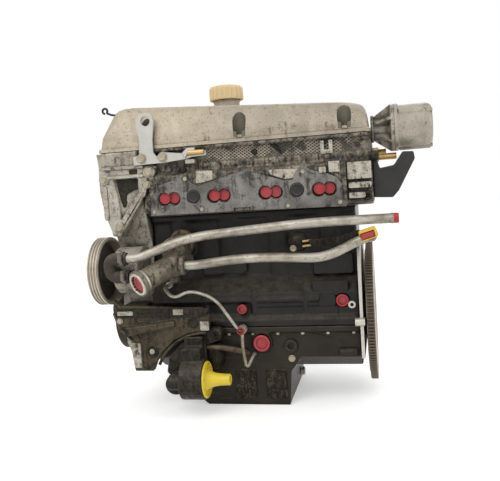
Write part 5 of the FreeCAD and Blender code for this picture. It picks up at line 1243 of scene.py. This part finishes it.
class ENGINE_OT_vacuum_pump(Operator):
    """Drum and neck behind the head"""
    bl_idname = "engine.vacuum_pump"
    bl_label = "Vacuum pump"
    bl_options = {"REGISTER", "UNDO"}

    def execute(self, context):
        look = context.scene.engine_look
        centre = (0, *DRUM_AXIS)
        neck = eased([(8, 0), (8, 25), (13, 25), (14, 18.5), (34, 19.5), (42, 24), (44, 43), (50, 43.4),
                      (50, 0)], 1.6)
        webs = []
        for degrees in (12, 58, 104, 160, 218, 276, 322):
            turn = math.radians(degrees)
            out, aside = np.array((0, math.cos(turn), math.sin(turn))), np.array((0, -math.sin(turn),
                                                                                  math.cos(turn)))
            section = np.array([(10, 10), (10, 21), (13, 22), (43, 42.6), (46, 42.8), (46, 10)], float)
            plate = section[:, :1] * np.array(AHEAD) + section[:, 1:] * out + np.array(centre)
            webs.append(np.stack([plate - aside * 2.4, plate - aside * 1.6, plate + aside * 1.6,
                                  plate + aside * 2.4]))
        dressed(shaped("vacuum_neck", [turned(neck, centre, AHEAD, look.turned_sides)] + webs, 30),
                "case_casting", "case_casting", "vacuum_pump_neck")
        drum = eased([(50, 0), (50, 43.4), (56, 43.4), (57.5, 40.6), (62, 40.3), (100, 40), (101, 40.4),
                      (106, 40.4), (107, 39.8),
                      (111, 39), (116, 35), (117, 31), (117, 24), (115.4, 22.5), (115.4, 9), (117, 8),
                      (117, 0)], 1.2)
        places = circle(37, [math.radians(degrees) for degrees in (20, 140, 260)], DRUM_AXIS)
        lugs = [turned(eased([(58, 0), (58, 6.6), (112, 6), (113, 5), (113, 0)], 1), (0, y, z), AHEAD, 28)
                for y, z in places]
        dressed(shaped("vacuum_drum", [turned(drum, centre, AHEAD, look.turned_sides)] + lugs),
                "drum_casting", "case_casting", "vacuum_pump_body")
        heads = sum([bolt((113, y, z), AHEAD, 3.6, 3.8, 4.6) for y, z in places], [])
        dressed(shaped("drum_screws", heads, 30), "bolt_zinc", "bolt_zinc")
        return {"FINISHED"}


class ENGINE_OT_pipes(Operator):
    """Coolant pipes, moulded hose with its clamps, and the oil feed pipe"""
    bl_idname = "engine.pipes"
    bl_label = "Pipes"
    bl_options = {"REGISTER", "UNDO"}

    def execute(self, context):
        upper = stepped(eased(UPPER_PIPE, 60, 12))
        swell = 8.5 + 0.9 * np.exp(-((upper[:, 0] - 38) / 1.6) ** 2)
        tube = swept(upper, swell, 32)
        dressed(shaped("upper_coolant_pipe", [tube]), "pipe_steel", "pipe_steel", "coolant_pipe_upper")
        lower = stepped(eased(LOWER_PIPE, (0, 12, 60, 60, 30, 12, 0), 12))
        dressed(shaped("lower_coolant_pipe", [swept(lower, 8.5, 32)]), "pipe_steel", "pipe_steel",
                "coolant_pipe_lower")
        bend = stepped(eased(HOSE, 17, 14), 1.5)
        ends = np.clip(np.minimum(np.arange(len(bend)), np.arange(len(bend))[::-1]) / 3, 0, 1)
        dressed(shaped("moulded_hose", [swept(bend, 11.4 + 0.6 * ends, 40, (0, 1, 0.02))]), "hose_rubber",
                "hose_rubber", "coolant_hose")
        bands = []
        for x, y, z in (HOSE[0], HOSE[-1]):
            ring = eased([(x - 12, 12.2), (x - 12, 13.6), (x - 5, 13.6), (x - 5, 12.2), (x - 12, 12.2)], 0.3)
            bands.append(turned(ring, (0, y, z), AHEAD, 56))
            bands.append(turned(eased([(-7, 0), (-7, 4.2), (7, 4.2), (7, 0)], 0.8),
                                (x - 8.5, y - 15.5, z + 2), UP, 24))
            bands.append(turned([(7, 0), (7, 3.2), (11, 3.2), (11, 0)], (x - 8.5, y - 15.5, z + 2), UP, 6))
        dressed(shaped("worm_clamps", bands, 35), "dark_steel", "dark_steel", "hose_clamps")
        feed = stepped(eased(OIL_FEED, (0, 12, 26, 30, 30, 14, 0), 10), 2.0)
        drain = stepped(eased(OIL_DRAIN, (0, 16, 9, 9, 0), 10), 2.0)
        nuts = [turned([(0, 0), (0, 6), (9, 6), (9, 0)], (-393, -101, 80), NEAR, 30, six_sided),
                boss((-247, -124, -6), 8.2, 14)]
        dressed(shaped("oil_feed_tube", [swept(feed, 3.2, 20), swept(drain, 3.2, 20)] + nuts, 35),
                "pipe_steel", "pipe_steel", "oil_feed_pipe")
        return {"FINISHED"}


class ENGINE_OT_plugs(Operator):
    """Transport plugs in ports, pipe ends and block holes, and the plug on the filter seat"""
    bl_idname = "engine.plugs"
    bl_label = "Plugs"
    bl_options = {"REGISTER", "UNDO"}

    def execute(self, context):
        look = context.scene.engine_look
        red = []

        def lobes(angle):
            return 0.8929 * np.abs(np.cos(angle)) + np.sqrt(1 - (0.8929 * np.sin(angle)) ** 2)

        for x in CYLINDERS:
            red.append(turned([(12, 0), (12, 10.6), (6.4, 10.6), (5.8, 9.8), (5.8, 0)],
                              (x, PLATE_FACE, PORT_Z), ACROSS, 120, lobes))
            for shift, depth in ((-9, 0.4), (9, 3.6)):
                red.append(turned(eased([(2.4, 0), (2.4, 10.8), (0.4, 10.9), (-0.4, 10.2), (-0.4, 8.6),
                                         (1.0, 7.8), (1.0, 0)],
                                        0.4), (x + shift, depth + PLATE_FACE, PORT_Z + 1.5), ACROSS, 56))
            red.append(turned([(88, 0), (88, 10), (99.4, 10.2), (100, 9.4), (98.5, 8.6), (98.5, 0)],
                              (x, 0, PORT_Z), ACROSS, 96, oval))
        cup = [(0, 0), (0, 1), (1, 1.0), (1.6, 0.9), (1.6, 0.72), (-0.6, 0.66), (-0.6, 0)]

        def button(place, way, size, reach):
            rows = [(along * 2 + reach, share * size) for along, share in cup]
            return turned(eased([(-6, 0), (-6, size * 0.9)] + rows[1:], 0.5), place, way, 56)

        red += [button((-58, -108, 41), NEAR, 11.9, 0), button((-213, -118, -35), NEAR, 15.9, 2.6),
                button((-247, -112, 31), NEAR, 9, 8), button((-247, -138, -6), NEAR, 7.4, 3)]
        red.append(turned(eased([(40, 0), (40, 8.9), (46, 8.9), (49, 8.4), (49, 6), (46.5, 5.6), (46.5, 0)],
                                0.5),
                          (0, -155, 191), AHEAD, 48))
        red.append(relief([(-14, 158), (7, 164), (5, 173), (-16, 167)], -176, -179.2, 1.5, 0.6))
        red.append(turned(eased([(-12, 0), (-12, 16.6), (-7, 16.2), (-5, 15), (-6, 12), (-8, 11), (-8, 0)],
                                0.6), SPIGOT_END, SPIGOT_WAY, 64))
        dressed(shaped("red_plugs", red), "red_plastic", "red_plastic", "transport_plugs")

        black = [turned(eased([(0, 0), (0, 12.6), (-3.4, 12.6), (-5, 11.4), (-5.4, 9), (-3.8, 7.6),
                               (-3.8, 0)], 0.8),
                        (x, -127.2, PORT_Z + 2), ACROSS, 56) for x in (-323, -127)]
        dressed(shaped("flange_core_plugs", black), "black_plastic", "black_plastic", "intake_core_plugs")

        seat = eased([(-313, 0), (-313, 33.4), (-312, 34), (-309.6, 34), (-308.4, 31), (-311.4, 30),
                      (-311.4, 20), (-308, 18), (-303, 15.4),
                      (-296, 12.8), (-286, 11.2), (-276, 10.6), (-266.6, 10.4), (-266, 9), (-266, 6.5),
                      (-272, 6), (-272, 0)], 1.0)
        dressed(shaped("filter_seat_cover", [turned(seat, (0, -168, -90), AHEAD, look.turned_sides)]),
                "yellow_plastic", "yellow_plastic", "filter_seat_plug")

        window = relief([(-15.5, 156), (9, 163), (6, 175), (-18.5, 168)], -175, -190, 1.5)
        flange = shaped("flange_cap", [relief([(-21, 173), (8, 181.5), (14.5, 163), (-14.5, 154)], -171.4,
                                              -178.6, 5, 1.4)])
        dressed(drilled(flange, [window], 35), "flange_plastic", "yellow_plastic", "pipe_flange")
        return {"FINISHED"}


class ENGINE_OT_bolts(Operator):
    """Bolt heads of covers, hangers, flanges, bracket and sump, and the exhaust studs"""
    bl_idname = "engine.bolts"
    bl_label = "Bolts"
    bl_options = {"REGISTER", "UNDO"}

    def execute(self, context):
        heads = []
        for x in POCKETS:
            for side in (-1, 1):
                heads += bolt((x, side * 119.5, RIM_Z + 0.6), UP, 4.6, 5.6, 6.6)
        for x, side in ((-420, -1), (-378, -1), (-42, 1), (-7, 1)):
            heads += bolt((x, side * 131, 328), (0, side, 0), 7, 6, 9)
        for x in CYLINDERS:
            for dx, dz in ((-26, 20), (26, -18)):
                thread = [(98, 0), (98, 4)] + [(place, 4 - 0.5 * (number % 2)) for number, place in
                                               enumerate(np.linspace(100, 120.5, 34))] + [(121.5, 3),
                                                                                          (122, 0)]
                heads.append(turned(thread, (x + dx, 0, PORT_Z + dz), ACROSS, 20))
        heads += bolt((-165 + 2.6, 40, -138), AHEAD, 8, 6.2, 9)
        dressed(shaped("engine_bolts", heads, 30), "bolt_zinc", "bolt_zinc", "fasteners")

        trim = []
        for x, z in ((-402, 225), (-308, 225), (-337, 284), (-115, 282), (-51, 223), (-145, 222)):
            trim += bolt((x, -131, z), NEAR, 3.0, 3.0, 3.9)
        for x, z, size in ((-503, 293, 5.6), (-410, 302, 6.2), (-478, 199, 6.2), (-415, 278, 3.8)):
            trim += bolt((x, -126.4, z), NEAR, size, 4.6)
        trim += bolt((-483, -152, 20), NEAR, 4.6, 4) + bolt((-159, -109, -68), NEAR, 5, 5)
        trim += bolt((-373, -138.6, 141), NEAR, 4.6, 4.6) + bolt((-142, -121, 143), NEAR, 4.4, 4.4)
        for x in np.linspace(-420, -40, 9):
            for side in (-1, 1):
                trim += bolt((x, side * 113.6, -16), (0, 0, -1), 3.2, 4.4, 3.9)
        dressed(shaped("small_bolts", trim, 30), "bolt_zinc", "bolt_zinc")
        return {"FINISHED"}


class ENGINE_OT_head_relief(Operator):
    """Pads, ribs, tabs and bosses that stand on the head's intake side"""
    bl_idname = "engine.head_relief"
    bl_label = "Head relief"
    bl_options = {"REGISTER", "UNDO"}

    def execute(self, context):
        pads = [
            relief([(-318, 274), (-300, 275), (-284, 279), (-284, 296), (-316, 298)], -118, -128.4),
            relief([(-176, 281), (-150, 271), (-128, 271), (-121, 276), (-119, 288), (-178, 290)], -118,
                   -128.4),
            relief(boxed(-86, -73, 277, 288), -126, -133.6), relief(boxed(-69, -49, 277, 297), -110, -128.6),
            relief(boxed(-37, 6, 262, 293), -110, -121), relief(boxed(-37, 6, 246, 257), -110, -123, 4, 2.5),
            relief(boxed(-37, -6, 228, 239), -110, -123, 4, 2.5),
            relief([(-82, 336), (-82, 311), (-60, 311), (-60, 336), (-66, 336), (-66, 318), (-76, 318),
                    (-76, 336)], -110,
                   -121, 1.2),
        ]
        dressed(shaped("head_pads", pads, 35), "scraped_alloy", "head_casting")
        dark = [boss((-3, -112, 231), 8.5, 9, hollow=4), boss((8, -108, 302), 8.5, 12, AHEAD, 5),
                relief([(-176, 337), (-152, 317), (-164, 338)], -110, -116, 1),
                boss((-345, -112, 300), 7, 10), boss((-205, -112, 325), 5, 6)]
        dressed(shaped("head_bosses", dark, 35), "greasy_iron", "head_casting")
        hanger = [relief([(-338, 333), (-328, 341), (-314, 341), (-314, 334), (-326, 333), (-334, 322)], -127,
                         -134, 1)]
        dressed(shaped("hanger_step", hanger, 30), "plated_steel", "bolt_zinc")
        dressed(shaped("hanger_pin", [boss((-325, -131, 332), 4.6, 29, AHEAD)], 30), "brass", "brass")
        dressed(shaped("hanger_rest", [relief(boxed(-334, -316, 312, 320), -110, -132)], 30), "scraped_alloy",
                "head_casting")
        return {"FINISHED"}


class ENGINE_OT_case_relief(Operator):
    """Bosses and bars of the timing case, and dark greasy sheets in its recessed window as painted shade"""
    bl_idname = "engine.case_relief"
    bl_label = "Timing case relief"
    bl_options = {"REGISTER", "UNDO"}

    def execute(self, context):
        parts = [boss((-503, -118, 293), 10.5, 9), boss((-410, -114, 302), 12, 13),
                 boss((-415, -118, 278), 8, 9),
                 boss((-403, -112, 276), 8.5, 12), boss((-478, -118, 199), 9.5, 9),
                 relief(boxed(-505, -420, 311, 317), -118, -127.6),
                 relief(boxed(-497, -420, 293.5, 299), -118, -127.4),
                 relief(boxed(-508, -498, 214, 282), -116, -127, 4, 2.5),
                 relief([(-436, 262), (-424, 264), (-468, 205), (-474, 212)], -118, -127, 2)]
        dressed(shaped("case_bosses", parts, 35), "case_casting", "case_casting")
        # painted shade: dark sheets laid in the case's recessed window, standing in for the shade there
        dark = [relief([(-482, 293), (-430, 291), (-431, 273), (-444, 270), (-462, 262), (-464, 240),
                        (-470, 236), (-477, 262)], -115, -118.6, 3, 0.6),
                relief(boxed(-450, -433, 301, 309), -120, -125.8, 1.5, 0.5)]
        dressed(shaped("case_window_shade", dark, 35), "greasy_iron", "case_casting")
        return {"FINISHED"}


class ENGINE_OT_bracket_relief(Operator):
    """Dark rail, patches, edge ribs, boss rings and strut of the engine mount bracket"""
    bl_idname = "engine.bracket_relief"
    bl_label = "Bracket relief"
    bl_options = {"REGISTER", "UNDO"}

    def execute(self, context):
        rail = [relief([(-489, 43), (-487, 27), (-318, 25), (-306, 29), (-305, 41)], -150, -154.4, 3),
                boss((-336, -151, 14), 10, 3.4, hollow=7), boss((-421, -151, -40), 12.5, 3, hollow=7.4)]
        dressed(shaped("bracket_rail", rail, 35), "greasy_iron", "bracket_casting")
        west = stepped(eased([(-494, -151, 36), (-488, -151, 16), (-474, -151, -4), (-458, -151, -20),
                              (-453, -151, -40), (-456, -151, -72)], 20))
        east = stepped(eased([(-409, -151, -66), (-398, -151, -46), (-374, -151, -23), (-344, -151, -9),
                              (-312, -151, -5)], 20))
        ribs = [swept(west, 3.2, 16), swept(east, 3.2, 16)]
        ring = turned(eased([(0, 17), (0, 21), (2, 20.6), (2, 17.6), (0, 17)], 0.4), (-433, -151.6, 0), NEAR,
                      56)
        dressed(shaped("bracket_ribs", ribs + [ring, boss((-341, -134, 14), 14, 16)], 35), "bracket_casting",
                "bracket_casting")
        bright = [relief(boxed(-486, -453, 31, 39), -153, -155.2, 1.5, 0.5),
                  relief(boxed(-373, -353, 30, 41), -153, -155.4, 1.5, 0.5),
                  relief(boxed(-322, -305, -1, 17), -150, -155, 2), boss((-421, -148, -40), 5.6, 7),
                  relief([(-464, -22), (-443, -24), (-443, -72), (-459, -72)], -148, -156, 3, 2)]
        dressed(shaped("bracket_patches", bright, 35), "case_casting", "case_casting")
        return {"FINISHED"}


class ENGINE_OT_filter_relief(Operator):
    """Lumps of the oil filter housing and the dark pipe that leaves it"""
    bl_idname = "engine.filter_relief"
    bl_label = "Filter housing relief"
    bl_options = {"REGISTER", "UNDO"}

    def execute(self, context):
        lumps = [boss((-372, -150, -98), 19, 27), boss((-294, -126, -10), 9.5, 20, hollow=5),
                 relief([(-352, -34), (-350, -8), (-300, 0), (-284, -8), (-286, -22), (-326, -36)], -112,
                        -142, 5, 2),
                 relief([(-356, -62), (-354, -36), (-330, -34), (-322, -48), (-326, -62)], -120, -168, 4, 3),
                 relief([(-398, -84), (-392, -52), (-360, -20), (-318, -18), (-316, -70), (-336, -92),
                         (-384, -96)], -104, -146, 9, 3),
                 relief([(-318, -70), (-316, -30), (-296, -34), (-288, -60), (-300, -84)], -104, -134, 6, 3),
                 boss((-338, -162, -66), 13, 12, hollow=5)]
        dressed(shaped("filter_lumps", lumps, 38), "greasy_iron", "bracket_casting")
        run = stepped(eased([(-352, -134, -36), (-300, -134, -37), (-264, -128, -45), (-242, -108, -56)], 24),
                      3)
        dressed(shaped("return_pipe", [swept(run, 5.2, 24)]), "rusty_iron", "pipe_steel")
        return {"FINISHED"}


class ENGINE_OT_outlet_relief(Operator):
    """Machined spigot rim, flange and dome of the coolant outlet"""
    bl_idname = "engine.outlet_relief"
    bl_label = "Outlet relief"
    bl_options = {"REGISTER", "UNDO"}

    def execute(self, context):
        rim = [(-17, 18), (-17, 21.6), (-15.4, 22.4), (-11.5, 22.4), (-10.5, 21.5), (-8, 21.5), (-7, 22.4),
               (-2, 22.4), (-0.4, 21), (0.2, 20.2), (0.2, 17.6), (-1, 16.8), (-9, 16.6), (-9, 18), (-17, 18)]
        dressed(shaped("spigot_rim", [turned(eased(rim, 0.4, 3), SPIGOT_END, SPIGOT_WAY, 96)], 30,
                       capped=False), "machined_steel",
                "machined_steel")
        dome = [boss((-362, -100, 163), 24, 8), boss((-362, -100, 163), 15, 17)]
        flange = relief([(-381, 149), (-366, 150), (-361, 122), (-366, 88), (-381, 87)], -122, -138.4, 5, 2)
        dressed(shaped("outlet_dome", dome, 38), "rusty_iron", "bracket_casting")
        dressed(shaped("outlet_flange", [flange], 38), "outlet_casting", "bracket_casting")
        return {"FINISHED"}


class ENGINE_OT_block_relief(Operator):
    """Pads, ribs and bosses of block and sump, a bolt sleeve and the exhaust port seats"""
    bl_idname = "engine.block_relief"
    bl_label = "Block relief"
    bl_options = {"REGISTER", "UNDO"}

    def execute(self, context):
        skirt = -104
        pads = [relief(boxed(-222, -66, 4, 31), skirt, -110.4, 3),
                relief(boxed(-104, -70, 29, 53), skirt, -109, 8),
                relief(boxed(-286, -106, 41, 45), skirt, -111, 1.5),
                relief(boxed(-113, -46, 56, 78), -98, -107.6, 4),
                relief(boxed(-112, -34, 88, 126), -70, -90, 5, 3),
                relief(boxed(-330, -240, 96, 122), -70, -89, 5, 3)]
        back = [relief(boxed(-425, -34, 16, 22), 104, 110.5, 2),
                relief(boxed(-425, -34, 50, 55), 104, 109.5, 2),
                relief(boxed(-300, -262, 24, 48), 104, 112, 6, 2), boss((-281, 108, 36), 9, 8, ACROSS, 5)]
        back += [relief(boxed(x - 4, x + 4, 12, 60), 103, 109, 1.5)
                 for x in (-372, -323, -225, -176, -127, -78)]
        dressed(shaped("block_pads", pads + back, 35), "block_paint", "block_paint")

        pan = [boss((-159, -109, -43), 12.5, 7, hollow=6), boss((-64, -109, -57), 9.5, 30, AHEAD),
               swept(stepped([(-121, -110, -19), (-57, -110, -37)]), 1.5, 12)]
        pan += [relief(boxed(x, x + 6, -140, -80), 94, 99, 2) for x in (-300, -250, -200)]
        dressed(shaped("sump_bosses", pan, 35), "sump_paint", "sump_paint")
        crust = [relief(boxed(-272, -230, -147, -88), -106, -110.4, 6, 1.5),
                 relief(boxed(-211, -171, -147, -88), -106, -110.4, 6, 1.5)]
        dressed(shaped("sump_panels", crust, 35), "sump_crust", "sump_paint")

        ring = turned([(0, 3.3), (0, 7), (7, 6.8), (7, 3.4), (0, 3.3)], (-41, -104, 33), NEAR, 32)
        dressed(shaped("block_ear", [ring], 35, capped=False), "machined_steel", "machined_steel")

        ports = [relief(boxed(x - 36, x + 36, PORT_Z - 20, PORT_Z + 20), 92, 100.8, 14, 1) for x in CYLINDERS]
        holes = [turned([(80, 0), (80, 11), (110, 11), (110, 0)], (x, 0, PORT_Z), ACROSS, 96, oval)
                 for x in CYLINDERS]
        dressed(drilled(shaped("exhaust_seats", ports), holes), "scraped_alloy", "head_casting")
        return {"FINISHED"}


class ENGINE_OT_knock_sensor(Operator):
    """Knock sensor on its boss, with its bolt, pins and the strap that carries the pipe's flange"""
    bl_idname = "engine.knock_sensor"
    bl_label = "Knock sensor"
    bl_options = {"REGISTER", "UNDO"}

    def execute(self, context):
        puck = turned(eased([(0, 0), (0, 15.6), (5, 16), (6, 14.6), (10, 14.6), (14, 13.4), (17, 9), (18, 6),
                             (18, 0)], 0.8),
                      (-135, -102, 152), NEAR, 56)
        strap = relief([(-112, 158), (-108, 146), (-44, 142), (-18, 150), (-16, 158), (-20, 172), (-60, 160)],
                       -120, -129, 3)
        dressed(shaped("knock_sensor_body", [puck, strap], 35), "greasy_iron", "black_plastic",
                "knock_sensor")
        pins = [swept(stepped([(-124, -121, z), (-106, -123, z + 2)], 3), 2.1, 16) for z in (146, 155)]
        dressed(shaped("sensor_pins", pins), "brass", "brass")
        return {"FINISHED"}


class ENGINE_OT_trim(Operator):
    """Core plugs of the block and the clip at the cover's front end"""
    bl_idname = "engine.trim"
    bl_label = "Trim"
    bl_options = {"REGISTER", "UNDO"}

    def execute(self, context):
        discs = []
        for x in (-323, -225, -127):
            discs.append(turned(eased([(70, 0), (70, 17), (79.4, 17), (80, 16), (77.4, 14.6), (77.4, 0)],
                                      0.8), (x, 0, 128),
                                ACROSS, 56))
        dressed(shaped("block_core_plugs", discs), "machined_steel", "machined_steel")
        turn = np.linspace(-0.9, 4.6, 40)
        loop = np.stack([-502 + 5 * np.cos(turn), np.full_like(turn, -96), 428 + 5 * np.sin(turn)], axis=-1)
        tail = stepped([(-498.9, -96, 424.1), (-490, -94, 420), (-478, -92, 418)], 2)
        dressed(shaped("cover_clip", [swept(loop, 2.2, 14), swept(tail, 2.2, 14)]), "black_plastic",
                "black_plastic")
        return {"FINISHED"}


OPERATORS = (
    ENGINE_OT_stage, ENGINE_OT_node_finishes, ENGINE_OT_castings, ENGINE_OT_plates, ENGINE_OT_cam_cover,
    ENGINE_OT_filler_cap, ENGINE_OT_front_wheels, ENGINE_OT_flywheel, ENGINE_OT_vacuum_pump, ENGINE_OT_pipes,
    ENGINE_OT_plugs, ENGINE_OT_bolts, ENGINE_OT_head_relief, ENGINE_OT_case_relief, ENGINE_OT_bracket_relief,
    ENGINE_OT_filter_relief, ENGINE_OT_outlet_relief, ENGINE_OT_block_relief, ENGINE_OT_knock_sensor,
    ENGINE_OT_trim,
)


class ENGINE_PT_panel(Panel):
    """Sidebar panel that lists the engine's operators and its sizes and colours"""
    bl_idname = "ENGINE_PT_panel"
    bl_label = "Petrol engine"
    bl_space_type = "VIEW_3D"
    bl_region_type = "UI"
    bl_category = "Engine"

    def draw(self, context):
        for name in EngineLook.__annotations__:
            self.layout.prop(context.scene.engine_look, name)
        for operator in OPERATORS:
            self.layout.operator(operator.bl_idname)


def register():
    for kind in (EngineLook, *OPERATORS, ENGINE_PT_panel):
        bpy.utils.register_class(kind)
    bpy.types.Scene.engine_look = PointerProperty(type=EngineLook)


def unregister():
    del bpy.types.Scene.engine_look
    for kind in (ENGINE_PT_panel, *reversed(OPERATORS), EngineLook):
        bpy.utils.unregister_class(kind)


def main():
    register()
    for operator in OPERATORS:
        getattr(bpy.ops.engine, operator.bl_idname.split(".")[1])()
    bpy.context.view_layer.update()


if __name__ == "__main__":
    main()
